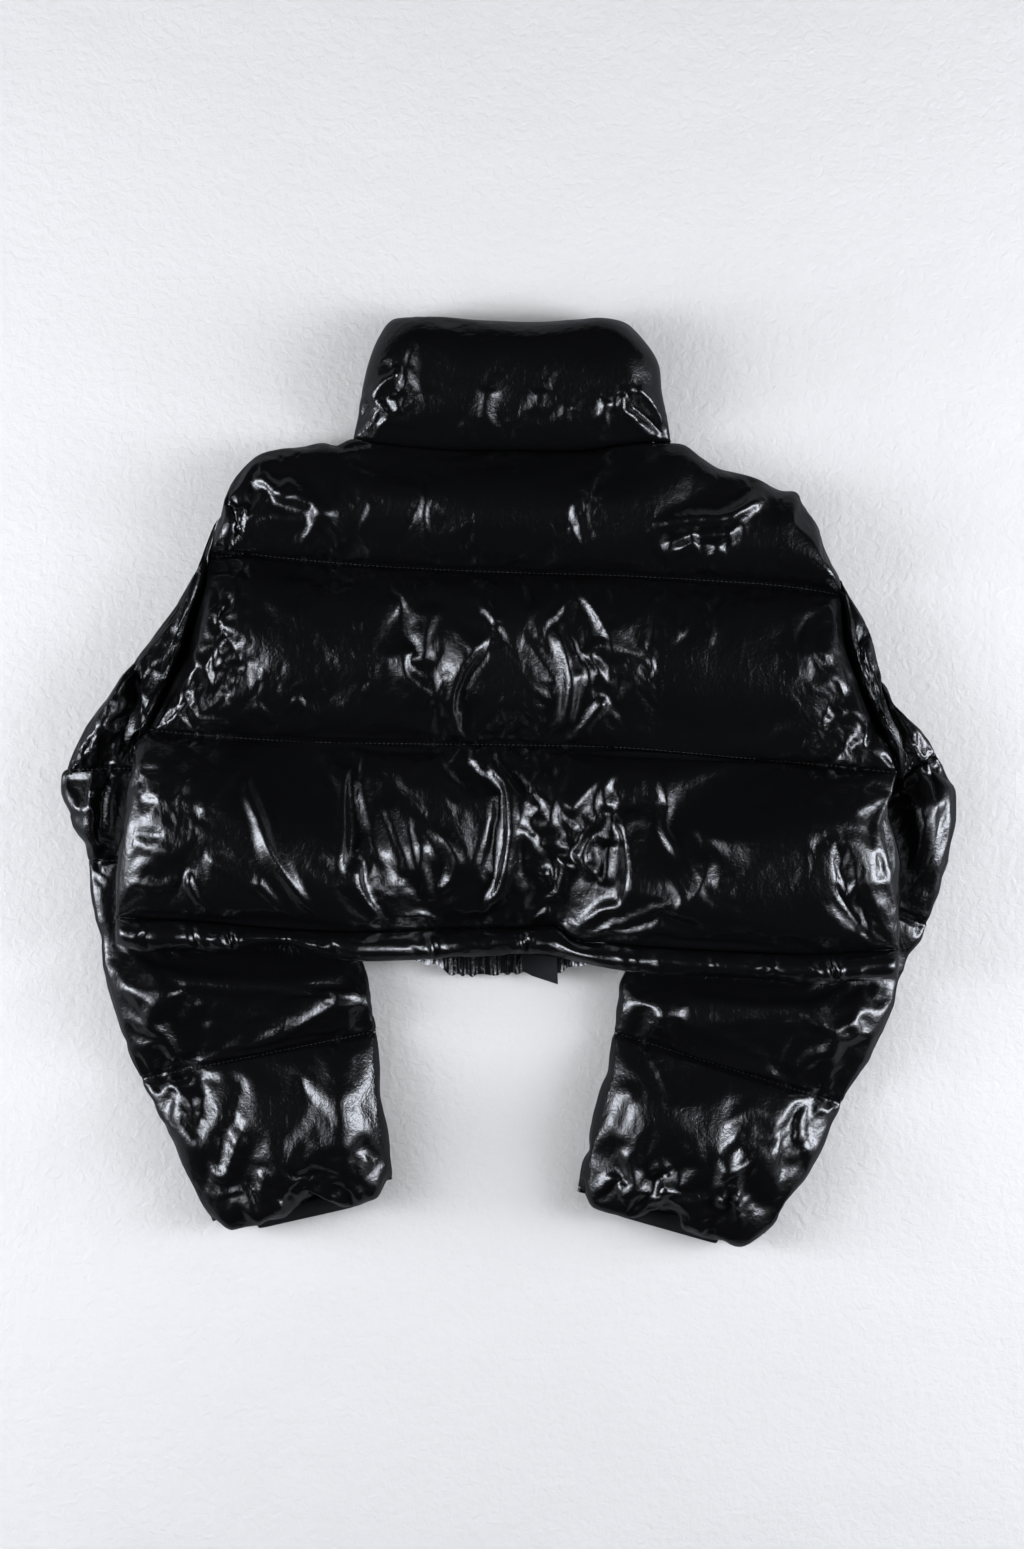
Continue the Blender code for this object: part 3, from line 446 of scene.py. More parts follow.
# The back: three bands between the shoulders, two quilting seams and the hem band
back = {
    "columns": 176,
    "rows": (26, 36, 38),
    "loft": (31.0, 36.0, 34.0),
    "roll": (20.0, 20.0, 44.0),
    "fineLines": 190,
    "crisp": 0.7,
    "slack": 0.06,
    "baseSlack": 0.005,
    "looseSpots": [(-24, -42, 110, 0.010), (72, -50, 50, 0.016), (20, 90, 60, 0.006), (-248, 78, 40, 0.014),
                   (280, 38, 50, 0.007), (-290, -40, 40, 0.010)],
    "cap": 12.0,
    "spare": [
        (-24, -42, 110, 0.16, 0), (-120, -40, 46, 0.12, 10), (-190, -40, 60, 0.13, 35),
        (72, -50, 50, 0.16, 0), (126, -30, 44, 0.08, 25), (-58, 88, 44, 0.08, 26), (-8, 84, 34, 0.07, 12),
        (52, 84, 42, 0.11, -6), (-248, 78, 40, 0.13, 35), (-186, 56, 40, 0.09, 40),
        (280, 38, 50, 0.09, 135), (200, 90, 60, 0.05, 130), (-176, 230, 60, 0.12, 45),
        (-146, 196, 40, 0.09, 30), (160, 214, 60, 0.10, 110),
        (80, 250, 40, 0.06, 140), (-10, 228, 70, 0.05, 150), (-290, -40, 40, 0.13, 0),
        (-244, -80, 36, 0.10, 20), (290, -60, 40, 0.07, 10),
    ],
    "creases": [
        (8, 6, 7, -14, 25, -4, 5, -2, -26, -3, -54, -12, -86, -29, -108),
        (4.5, 8, 20, -19, 7, -20, -26, -32, -74), (5, 12, 7, 29, 18, 14, 0, 2, -50),
        (6.5, 5.5, 6, -207, 14, -205, -2, -194, -23, -183, -48, -166, -74, -144, -107),
        (7, 5, 14, -126, 24, -127, -10, -126, -50, -130, -72),
        (4.5, 9, 10, -107, 28, -112, 2, -104, -34, -94, -68), (5, 5, 8, -117, -58, -112, -80, -98, -104),
        (3.5, 8, 8, -98, -8, -82, -47, -71, -78), (4, 5, 6, -68, -36, -64, -72, -59, -95),
        (3.5, 6, 6, -52, -33, -42, -67, -56, -87), (3.5, 10, 5, -230, 27, -246, 17, -258, -6),
        (3, 8, 8, -214, 12, -231, -8, -239, -22), (6, 4, 4, -250, -64, -243, -84, -219, -107),
        (5, 12, 12, -292, 30, -296, 0, -300, -40), (2.5, 7, 7, -236, -53, -216, -63, -196, -82),
        (4, 5, 7, -196, -68, -172, -100), (3, 6, 8, 41, 19, 32, -9, 26, -40), (4, 5, 5, 23, -63, 31, -94),
        (4, 5, 5, 43, -55, 34, -92), (6, 7, 12, 72, 16, 58, 0, 41, -23), (4, 5, 6, 79, 12, 70, -4, 74, -21),
        (8.5, 18, 4, 82, -15, 86, -58, 85, -95), (5, 5, 5, 86, -96, 69, -97, 53, -109),
        (4.5, 5, 5, 64, -31, 54, -58, 66, -71), (-5, 6, 6, 74, -40, 72, -78),
        (4, 6, 7, 110, 19, 119, -8, 116, -36, 129, -53), (3.5, 9, 9, 151, -47, 145, -77, 120, -104),
        (3, 4, 5, -32, 28, -21, 16), (4, 5, 6, -259, 108, -245, 96, -236, 76),
        (4, 5, 6, -262, 83, -253, 68, -243, 52), (3, 5, 5, -263, 63, -250, 42),
        (4, 5, 6, -204, 68, -187, 51, -171, 40), (3, 8, 7, -175, 68, -147, 52),
        (4, 8, 10, -86, 114, -78, 87, -54, 67), (3.5, 8, 12, -58, 145, -66, 118, -66, 92),
        (5.5, 5, 15, -18, 118, -35, 96, -44, 70, -41, 40), (3, 5, 5, -22, 144, -9, 126),
        (4.5, 20, 8, 50, 161, 72, 134, 81, 96), (5, 5, 6, 36, 128, 45, 96, 40, 42),
        (4.5, 4, 6, 53, 94, 42, 46), (6, 5, 5, 73, 71, 62, 56, 46, 34), (3, 6, 6, 75, 116, 62, 104, 71, 85),
        (2, 14, 14, 109, 150, 139, 118), (4, 6, 6, 248, 52, 274, 60, 291, 51),
        (3.5, 5, 5, 266, 28, 285, 48), (2.5, 5, 5, -242, 164, -218, 176), (3, 5, 5, 252, 150, 262, 124),
        (3.5, 6, 6, -202, 251, -176, 232), (3, 5, 5, -179, 244, -161, 228),
        (4, 5, 5, -188, 234, -157, 224, -138, 210), (4, 6, 6, -159, 218, -141, 206, -134, 188),
        (3, 5, 5, -154, 197, -138, 181), (7, 8, 6, 110, 205, 144, 211, 174, 214, 190, 224, 211, 233),
        (-4, 6, 6, 116, 194, 152, 201, 184, 204), (3.5, 5, 6, 148, 200, 132, 186),
        (3.5, 5, 6, 166, 196, 155, 174), (3.5, 10, 10, 78, 264, 56, 230), (3, 5, 5, -219, 219, -205, 224),
        (2.5, 3, 4, 194, 174, 197, 156), (2.5, 3, 4, 205, 172, 208, 155), (2.5, 3, 4, 217, 170, 220, 154),
        (2.5, 3, 4, 230, 167, 233, 153), (2.5, 3, 4, 242, 165, 245, 151), (2.5, 3, 4, 253, 163, 256, 150),
        (2.5, 3, 4, -234, 196, -237, 182), (2.5, 3, 4, -226, 196, -228, 182),
        (2.5, 3, 4, -215, 196, -218, 182),
    ],
}


def backPlan(across, rows):
    bands = [(leftShoulder + backNeck[1:] + rightShoulder[1:], yokeSeam, leftArmholeTop, rightArmholeTop),
             (yokeSeam, chestSeam, leftArmhole, rightArmhole),
             (chestSeam, hemSeam, leftSide, rightSide)]
    shares = [spacing(count, 0.5) for count in rows]
    grids = [patch(*band, across, down) for band, down in zip(bands, shares)]
    plan = np.concatenate([grids[0], grids[1][1:], grids[2][1:]])
    return plan, np.concatenate([shares[0], shares[1][1:], shares[2][1:]])


def makeBack():
    plan, down = backPlan(spacing(back["columns"], 0.3), back["rows"])
    counts = back["rows"]
    which = np.repeat([0, 1, 2], [counts[0], counts[1] - 1, counts[2] - 1])
    loft = np.array(back["loft"])[which][:, None]
    lining = underside(plan) + jacket["inside"] + hollow(plan)
    full = quilted(down)[:, None] * rolled(sideDistance(plan), np.array(back["roll"])[which][:, None])
    seams = [yokeSeam, chestSeam, hemSeam, leftArmhole, rightArmhole, leftSide, rightSide]
    fine = tensionLines(seams, back["fineLines"], 5, 1.5)
    bumps = creased(plan, back["creases"] + fine) + 1.3 * ripples(plan, 38, 90, 3.1)
    start = withHeight(plan, lining + jacket["edge"] + (loft + bumps) * full)
    hold = sewnAt(np.zeros(plan.shape[:-1]), counts)
    nearSeam = 0.3 + 0.7 * smoothStep(quilted(down, 1.0) / 0.4)
    outside = blownUp(start, hold, back, spared=nearSeam[:, None, None])
    return paddedPiece("backPanel", "back", outside, withHeight(plan, lining))


# The fronts, which the jacket lies on, from each side seam to the zip
fronts = {
    "columns": 54,
    "rows": (16, 22, 24),
    "roll": 36.0,
    "neckDrop": 34.0,
    "slack": 0.05,
    "baseSlack": 0.015,
    "cap": 6.0,
}


def neckDrop(x):
    return fronts["neckDrop"] * np.clip(1 - ((x - 1) / 127) ** 2, 0, 1)


def frontPlan(side, count, rows):
    whole, down = backPlan(spacing(90, 0.3), rows)
    across = spacing(count, 0.3)
    made = np.zeros((len(whole), count, 2))
    for r, row in enumerate(whole):
        row = row if side < 0 else row[::-1]
        ending = zipX(row[0, 1]) + side * jacket["channel"]
        x = row[0, 0] + (ending - row[0, 0]) * across
        made[r, :, 0] = x
        made[r, :, 1] = np.interp(-side * x, -side * row[:, 0], row[:, 1])
    yoke = np.zeros(len(whole))
    yoke[:rows[0]] = 1 - down[:rows[0]]
    made[..., 1] -= neckDrop(made[..., 0]) * yoke[:, None]
    made[:, -1, 0] = zipX(made[:, -1, 1]) + side * jacket["channel"]
    return (made if side < 0 else made[:, ::-1]), down


def makeFront(side, name, node):
    plan, down = frontPlan(side, fronts["columns"], fronts["rows"])
    under = underside(plan)
    full = np.clip(1.25 * quilted(down)[:, None] * rolled(sideDistance(plan), fronts["roll"]), 0, 1)
    lining = under + jacket["inside"] - hollow(plan)
    least = lining - jacket["edge"]
    wavy = 1 + 0.10 * ripples(plan, 16, 34, 2.2 + side) * (full < 1)
    start = withHeight(plan, np.minimum(least, least - (least - under) * np.clip(full * wavy, 0, 1)))
    hold = sewnAt(smoothStep((full - 0.9) / 0.1), fronts["rows"])
    outside = blownUp(start[::-1], hold[::-1], fronts)[::-1]
    outside[..., 2] = np.minimum(np.maximum(outside[..., 2], underside(outside[..., :2])), least)
    return paddedPiece(name, node, outside, withHeight(plan, lining))


# The hem bands, drawn in by their elastic
hem = {
    "loft": 14.0,
    "dip": 10.0,
    "columns": 230,
    "rows": 14,
    "slack": 0.10,
    "baseSlack": 0.003,
    "cap": 4.0,
    "frames": 14,
    "fineLines": 46,
    "pinches": [-244, -216, -172, -138, -60, 14, 92, 158, 250],
    "ruched": (-84, 66),
}


def pinched(plan):
    x = plan[..., 0] + 0.25 * (plan[..., 1] + 130)
    total = np.ones(x.shape)
    for i, at in enumerate(hem["pinches"]):
        apart, deep = 5.0 + 1.4 * math.sin(i * 2.3), 0.09 + 0.06 * math.sin(i * 1.7)
        off = np.abs(x - at)
        total += deep * (np.exp(-((off - apart) / 3.0) ** 2) - 1.3 * np.exp(-(off / 3.0) ** 2))
        total -= 0.4 * deep * np.exp(-(off / 10) ** 2)
    return np.clip(total, 0.3, 1.25)


def makeBackHem():
    rows = spacing(hem["rows"], 0.5)
    seam = [(x, y - jacket["seamGap"]) for x, y in hemSeam]
    left, right = [seam[0], hemEdge[0]], [seam[-1], hemEdge[-1]]
    plan = patch(seam, hemEdge, left, right, spacing(hem["columns"], 0.1), rows)
    lining = underside(plan) + jacket["inside"] + hollow(plan)
    fine = creased(plan, tensionLines([hemSeam], hem["fineLines"], 11, 0.2))
    bumps = 1 + 0.26 * ripples(plan, 24, 60, 4.4) + fine
    padding = hem["loft"] * quilted(rows)[:, None] * pinched(plan) * rolled(sideDistance(plan), 10.0)
    start = withHeight(plan, lining + jacket["edge"] + padding * bumps)
    hold = np.zeros(plan.shape[:-1])
    hold[[0, -1]] = 1.0
    hold[:, [0, -1]] = 1.0
    outside = blownUp(start, hold, hem)
    return paddedPiece("hemBandBack", "hem_back", outside, withHeight(plan, lining))


frontHemEdge = [(-309, -120), (-220, -122), (-110, -126), (-84, -134), (-70, -141), (-57, -144),
                (-48, -151), (-30, -152), (8, -150), (24, -149), (40, -147), (62, -141), (90, -136),
                (200, -138), (304, -138)]


def hemDrop(plan):
    top, end = [np.interp(plan[..., 0], *np.array(line, float).T) for line in (hemSeam, frontHemEdge)]
    return hem["dip"] * smoothStep((top - plan[..., 1]) / (top - end))


def makeFrontHem(side, name, node):
    rows = spacing(12, 0.3)
    near = zipX(-132) + side * jacket["channel"]
    far = frontHemEdge[0][0] if side < 0 else frontHemEdge[-1][0]
    first, last = hem["ruched"]
    if side < 0:
        at = np.concatenate([np.linspace(far, first, 46)[:-1], np.linspace(first, near, 78)])
    else:
        at = np.concatenate([np.linspace(near, last, 30)[:-1], np.linspace(last, far, 50)])
    topY = np.interp(at, *np.array(hemSeam, float).T) - 1.0
    endY = np.interp(at, *np.array(frontHemEdge, float).T)
    x = np.broadcast_to(at, (len(rows), len(at)))
    plan = np.stack([x, topY + (endY - topY) * rows[:, None]], axis=-1)
    showing = smoothStep((x - first) / 20) * smoothStep((last - x) / 20)
    under = underside(plan)
    lining = under + jacket["inside"] - hollow(plan) - hemDrop(plan)
    quilting = quilted(rows * 0.8 + 0.1)[:, None]
    bottom = lining - jacket["edge"] - (lining - jacket["edge"] - under) * quilting
    gathers = np.sin(x * 1.35 + 1.6 * np.sin(x * 0.31)) * 1.3
    gathers += 0.8 * np.sin(x * 0.71 + 0.05 * plan[..., 1])
    gathers *= 0.75 + 0.9 * ripples(plan, 14, 60, 2.7)
    plan[..., 1] += 1.1 * np.sin(x * 0.52 + 2 * np.sin(x * 0.17)) * showing * rows[:, None] ** 3
    top = lining + gathers * showing * np.sin(math.pi * np.clip(rows * 0.9, 0, 1))[:, None]
    bottom = np.maximum(np.minimum(bottom + 0.6 * gathers * showing, top - jacket["edge"]), under)
    return paddedPiece(name, node, withHeight(plan, bottom), withHeight(plan, top))


# Sleeves and cuffs
sleeves = {
    "around": 34,
    "rows": ((0, 3, 46), (3, 5, 18), (5, 8, 38), (8, 10, 30)),  # from and to which section, grid rows
    "head": 24,  # grid rows at the shoulder that the body doesn't press on
    "calm": 14,  # grid rows over which the folds begin
    "clearance": 3.0,
    "roll": 46.0,
    "pressed": 29.0,
    "foldWall": 13.0,
    "uneven": 2.4,
    "fineLines": 110,
    "crisp": 0.45,
    "turn": 0.16,  # the share of the last puff that turns under, over the cuff
    "drawn": (0.65, 0.55, 0.12),  # where the cuff's elastic draws it back: how much, the place, the width
    "slack": 0.06,
    "baseSlack": 0.005,
    "cap": 10.0,
    "spare": [(-330, 20, 44, 0.14, 150), (-300, 60, 40, 0.10, 140), (-334, -40, 36, 0.12, 40),
              (-290, -150, 44, 0.14, 30), (-262, -175, 40, 0.13, 20), (-270, -240, 44, 0.13, 10),
              (-222, -300, 50, 0.13, -20), (-132, -285, 46, 0.10, 0), (-138, -160, 36, 0.13, -30),
              (-160, -330, 40, 0.12, -20), (334, -20, 44, 0.14, 40), (300, 50, 32, 0.06, 46),
              (320, -60, 40, 0.12, 130), (262, -178, 44, 0.14, -24), (110, -170, 40, 0.10, -6),
              (112, -300, 46, 0.14, 10), (196, -296, 50, 0.14, 28), (240, -270, 34, 0.12, -30),
              (140, -335, 40, 0.12, 14)],
    "leftCreases": [
        (4, 6, 6, -334, 6, -338, -10, -333, -22), (3, 5, 5, -314, 10, -318, -10),
        (4, 6, 6, -347, 32, -325, 28), (4, 6, 6, -331, 57, -310, 41, -298, 40),
        (4, 6, 6, -288, 78, -306, 57), (3, 6, 6, -259, 118, -278, 92), (2.5, 6, 6, -244, 170, -251, 142),
        (4.5, 4, 5, -339, -58, -325, -46, -317, -49, -306, -36),
        (4, 10, 8, -314, -138, -296, -162, -272, -178), (3.5, 6, 6, -300, -126, -288, -150),
        (5, 8, 14, -266, -158, -280, -182, -288, -198), (3.5, 6, 6, -251, -170, -259, -192),
        (3.5, 12, 10, -144, -138, -132, -158, -126, -182), (5, 6, 8, -276, -230, -262, -244, -248, -248),
        (4, 6, 8, -272, -256, -248, -260), (4.5, 7, 8, -211, -272, -218, -290, -229, -316),
        (3, 6, 6, -194, -304, -198, -324), (4, 22, 12, -138, -238, -128, -274, -132, -310),
        (3, 6, 6, -114, -290, -118, -316), (4, 4, 4, -168, -322, -158, -340),
        (4, 4, 4, -154, -320, -144, -338), (4, 4, 4, -138, -324, -131, -336),
        (4, 4, 4, -184, -330, -176, -344), (3.5, 4, 4, -122, -320, -117, -332),
        (3, 5, 5, -208, -334, -198, -352),
    ],
    "rightCreases": [
        (2.5, 8, 8, 282, 118, 296, 96), (4, 6, 6, 306, 60, 326, 40), (4, 5, 5, 322, 28, 339, 14),
        (4.5, 6, 6, 316, -10, 332, -36, 347, -40), (5, 5, 6, 304, -36, 322, -56, 346, -63),
        (3.5, 6, 6, 312, -74, 333, -90), (7, 4, 14, 232, -158, 261, -162, 294, -169),
        (5, 8, 14, 237, -167, 251, -189, 262, -218), (4, 6, 8, 269, -178, 278, -202),
        (4, 5, 5, 299, -138, 309, -120), (4, 14, 12, 109, -158, 123, -178, 112, -191),
        (3, 6, 6, 123, -148, 134, -162), (6, 4, 5, 236, -256, 232, -274, 237, -292, 221, -290),
        (3, 4, 4, 242, -260, 254, -255), (4, 8, 16, 182, -274, 200, -290, 218, -292),
        (4, 6, 10, 174, -282, 186, -304), (7, 4, 5, 171, -291, 166, -311, 165, -335),
        (5, 4, 5, 172, -291, 178, -314, 182, -351), (6, 4, 4, 109, -308, 120, -300, 125, -311, 114, -336),
        (4.5, 8, 10, 91, -282, 98, -306, 101, -330), (5, 4, 4, 70, -325, 81, -310, 93, -328),
        (3, 5, 5, 80, -244, 101, -242), (4, 4, 5, 204, -228, 213, -239), (2.5, 6, 6, 144, -282, 141, -298),
        (4, 3, 4, 150, -348, 155, -362), (4, 3, 4, 136, -343, 139, -359), (4, 3, 4, 123, -338, 126, -351),
        (3, 4, 4, 104, -334, 106, -346),
    ],
    "looseSpots": [(-330, 20, 60, 0.02), (-270, -200, 60, 0.012), (-150, -330, 40, 0.014),
                   (330, 0, 60, 0.02), (250, -170, 50, 0.012), (120, -310, 50, 0.012),
                   (190, -300, 50, 0.012)],
    "leftPast": (17, 19),  # how far its end turns under past the last seam, at its outer and inner edge
    "rightPast": (22, 17),
}


leftCuff = [(-239.5, -350.5, -96, -316.5), (-226, -361, -102, -333)]
rightCuff = [(205.5, -360.5, 56, -324.5), (191, -375, 61, -338)]


def sleeveSections(rows):
    values = np.array([(*r[0:5], r[6]) for r in rows], float)
    slopes = np.gradient(values, axis=0)
    where, lofts, over = [], [], []
    for first, last, count in sleeves["rows"]:
        loft = max(r[5] for r in rows[first:last + 1])
        share = spacing(count, 0.5)[:-1]
        profile = quilted(share, 0.55)
        turn = np.zeros(len(share))
        if first == 0:
            profile = np.where(share < 0.5, quilted(share, 0.3), profile)
        if last == len(rows) - 1:  # a blunt end that turns under
            begins = 1 - sleeves["turn"]
            straight = begins * spacing(count - 12, 0.5)[:-1]
            share = np.concatenate([straight, np.linspace(begins, 1, 13)[:-1]])
            turn = np.clip((share - begins) / sleeves["turn"], 0, 1)
            flat = 1 - 0.05 * smoothStep((share - 0.5) / 0.35)
            profile = np.where(share < 0.5, quilted(share, 0.55), flat * (1 + np.cos(math.pi * turn)) / 2)
        where.append(first + share * (last - first))
        lofts.append(loft * profile)
        over.append(np.sin(math.pi * turn) ** 1.2)
    where = np.concatenate(where + [[float(len(rows) - 1)]])
    lofts = np.concatenate(lofts + [[0.0]])
    over = np.concatenate(over + [[0.0]])
    k = np.minimum(where.astype(int), len(rows) - 2)
    s = (where - k)[:, None]
    smooth = ((1 + 2 * s) * (1 - s) ** 2 * values[k] + s * (1 - s) ** 2 * slopes[k]
              + s * s * (3 - 2 * s) * values[k + 1] + s * s * (s - 1) * slopes[k + 1])
    return smooth, lofts[:, None], over[:, None, None]


def sleevePlan(side, rows, past, sections, lofts, over):  # with its end over the cuff, and without
    shares = spacing(sleeves["around"], 0.45)
    body, _ = backPlan(np.array([0.0, 1.0]), (12, 16, 8))
    armhole = body[:27, 0 if side < 0 else 1]
    run = np.concatenate([[0.0], np.cumsum(np.linalg.norm(np.diff(armhole, axis=0), axis=1))])
    seam = np.stack([np.interp(shares * run[-1], run, armhole[:, k]) for k in (0, 1)], axis=1)
    bow = seam - (seam[0] + (seam[-1] - seam[0]) * shares[:, None])
    outer, inner = sections[:, None, 0:2], sections[:, None, 2:4]
    plan = outer + (inner - outer) * shares[None, :, None] + sections[:, None, 4:5] * bow[None]
    plan[..., 0] += side * 1.0 * sections[:, 4:5]
    spread = (inner - outer) / np.linalg.norm(inner - outer, axis=-1, keepdims=True)
    fromEdge = sideDistance(plan)[..., None]
    wavy = ripples(plan, 18, 18, 4.2 + side) + 0.25 * ripples(plan, 9, 9, 7.7)
    reach = np.exp(-(fromEdge / 14) ** 2) * np.clip(lofts / 14, 0, 1)[..., None]
    reach[:12] *= smoothStep(np.arange(12) / 12)[:, None, None]
    flat = plan + sleeves["uneven"] * wavy[..., None] * reach * spread
    ends = np.array([r[0:4] for r in rows[-2:]], float)
    ways = (ends[1] - ends[0]).reshape(2, 2)
    ways /= np.linalg.norm(ways, axis=1, keepdims=True)
    beyond = ways[0] + (ways[1] - ways[0]) * shares[:, None]
    much, place, width = sleeves["drawn"]
    drawn = 1 - much * np.exp(-((shares - place) / width) ** 4)
    reach = past[0] + (past[1] - past[0]) * shares
    reach = 3 + (reach - 3) * smoothStep(np.minimum(shares, 1 - shares) / 0.10) * drawn
    reach += 1.6 * ripples(np.stack([shares * 140, shares * 0], axis=1), 11, 30, 3.3 + side)
    return flat + over * (reach[:, None] * beyond)[None], flat


def makeSleeve(side, name, node, rows, past, creases):
    sections, lofts, over = sleeveSections(rows)
    plan, flat = sleevePlan(side, rows, past, sections, lofts, over)
    under = underside(plan)
    outsideBody = distanceOutside(plan, bodyOutline)
    ceiling = under - sleeves["clearance"]
    level = np.minimum(sections[:, 5:6], np.where(outsideBody < -20, 0.6 * ceiling, 99))
    level = level + smoothStep(sections[:, 4:5]) * (under + jacket["inside"] - level)
    fromEdge = sideDistance(plan)
    width = fromEdge.max(axis=1, keepdims=True)
    full = rolled(fromEdge, np.minimum(sleeves["roll"], np.maximum(width, 1e-3)))
    free = smoothStep((outsideBody - 3) / 34)
    free[:sleeves["head"]] = 1.0
    base = jacket["hollow"] + jacket["edge"]
    seams = [[rows[k][0:2], rows[k][2:4]] for k in (3, 5, 8, 10)]
    seams += [[r[0:2] for r in rows], [r[2:4] for r in rows[4:]]]
    fine = tensionLines(seams, sleeves["fineLines"], 7 + side, 1.5)
    bumps = creased(plan, creases + fine) + 1.2 * ripples(plan, 32, 60, 6.6)
    above = base + lofts + bumps * np.clip(lofts / 10, 0, 1)
    pressed = np.minimum(above, np.minimum(ceiling, sleeves["pressed"]) - level)
    top = level + (pressed + (above - pressed) * free) * full
    below = base + (level - base) * np.clip(1.3 * lofts / 31.0, 0, 1)
    bottom = np.maximum(level - below * full, 0.0)
    hold = np.concatenate([1 - smoothStep(free * 1.5), smoothStep((fromEdge - 6) / 16)[:, -2::-1]], axis=1)
    stitched = np.cumsum([0] + [count - 1 for _, _, count in sleeves["rows"]])
    hold[stitched] = 1.0
    start = tube(plan, top, bottom)
    outside = blownUp(start, hold, sleeves, closed=True)
    fromHead = smoothStep(np.arange(len(start)) / sleeves["calm"])[:, None, None]
    outside = start + (outside - start) * fromHead
    outside[..., 2] = np.maximum(outside[..., 2], jacket["floorGap"])
    inside = distanceOutside(outside[..., :2], bodyOutline) < 2
    inside[:sleeves["head"]] = False
    kept = np.minimum(outside[..., 2], underside(outside[..., :2]) - 1)
    outside[..., 2] = np.where(inside, kept, outside[..., 2])
    wall = np.minimum(2 * sleeves["foldWall"] / np.maximum(2 * width, 1e-3), 0.6)[..., None]
    middle = (flat[:, :1] + flat[:, -1:]) / 2
    narrow = middle + (flat - middle) * (1 - wall)
    space = jacket["hollow"] * full
    lining = tube(narrow, level + space, level - space)
    return paddedPiece(name, node, outside, lining, closed=True)


cuffs = {
    "level": 12.0,
    "loft": 1.6,
    "rows": 9,
    "around": 80,
    "begins": 0.19,  # where the drawn-in band begins across the sleeve's end, and how wide it is
    "wide": 0.62,
    "roll": 9.0,
    "wall": 12.0,
}


def makeCuff(name, node, rows):
    first, last = np.array(rows, float)
    across = spacing(cuffs["around"], 0.4)
    down = np.linspace(0, 1, cuffs["rows"])
    outer = first[:2] + (last[:2] - first[:2]) * down[:, None]
    inner = first[2:] + (last[2:] - first[2:]) * down[:, None]
    drawnIn = cuffs["begins"] + cuffs["wide"] * across[None, :, None]
    plan = outer[:, None] + (inner - outer)[:, None] * drawnIn
    full = rolled(sideDistance(plan), cuffs["roll"])
    pinches = 1 + 0.40 * ripples(plan, 14, 90, 5.5) + 0.10 * ripples(plan, 5, 60, 2.5)
    loft = cuffs["loft"] * quilted(down, 0.4)[:, None] * pinches
    thick = (jacket["hollow"] + jacket["edge"] + loft) * full
    space = jacket["hollow"] * full
    level = cuffs["level"]
    width = np.linalg.norm(plan[:, -1] - plan[:, 0], axis=-1)[:, None, None]
    middle = (plan[:, :1] + plan[:, -1:]) / 2
    narrow = middle + (plan - middle) * (1 - cuffs["wall"] / width)
    lining = tube(narrow, level + space, level - space)
    return paddedPiece(name, node, tube(plan, level + thick, level - thick), lining, closed=True)


# The collar stands round the neck and is folded flat at its two sides
collar = {
    "loft": 33.0,
    "rows": 34,
    "around": 64,
    "half": 34,  # grid points across each front half
    "roll": 30.0,
    "drawnIn": 13.0,  # how much the lining is narrower at its sides
    "slack": 0.05,
    "baseSlack": 0.002,
    "looseSpots": [(104, 300, 30, 0.02), (-105, 300, 30, 0.02)],
    "cap": 8.0,
    "spare": [(104, 296, 30, 0.06, 45), (-108, 296, 30, 0.06, -45), (0, 284, 40, 0.03, 0)],
    "creases": [
        (-16, 4, 5, -126, 284, -119, 297, -111, 310), (7, 4, 8, -119, 298, -106, 316, -86, 331),
        (4.5, 4, 4, -106, 307, -98, 292, -109, 283), (2.5, 6, 6, -92, 310, -86, 296),
        (-13, 8, 5, 92, 305, 106, 296, 126, 279), (7, 6, 5, 96, 314, 112, 304, 124, 286),
        (6, 4, 3, 90, 310, 88, 300, 100, 291), (5, 5, 7, 80, 306, 75, 296, 76, 284),
        (6, 4, 4, 100, 290, 108, 283, 116, 278), (3.5, 7, 8, -16, 316, -18, 302, -22, 286),
        (3, 5, 5, 46, 303, 42, 286), (2.5, 8, 8, 24, 314, 21, 294), (2, 9, 9, -64, 314, -67, 290),
        (2.5, 5, 5, -38, 290, -32, 278), (2.5, 4, 4, 8, 288, 5, 276),
    ],
}
collarLeft = [(-126, 277), (-124, 287), (-122, 296), (-118, 319), (-113, 340), (-105, 360), (-97, 372),
              (-93, 375)]
collarRight = [(129, 276), (126, 296), (122, 314), (119, 338), (105, 360), (98, 368)]
collarTop = [(-93, 375), (-71, 376), (-16, 373), (24, 372), (54, 374), (73, 375), (89, 372), (98, 368)]


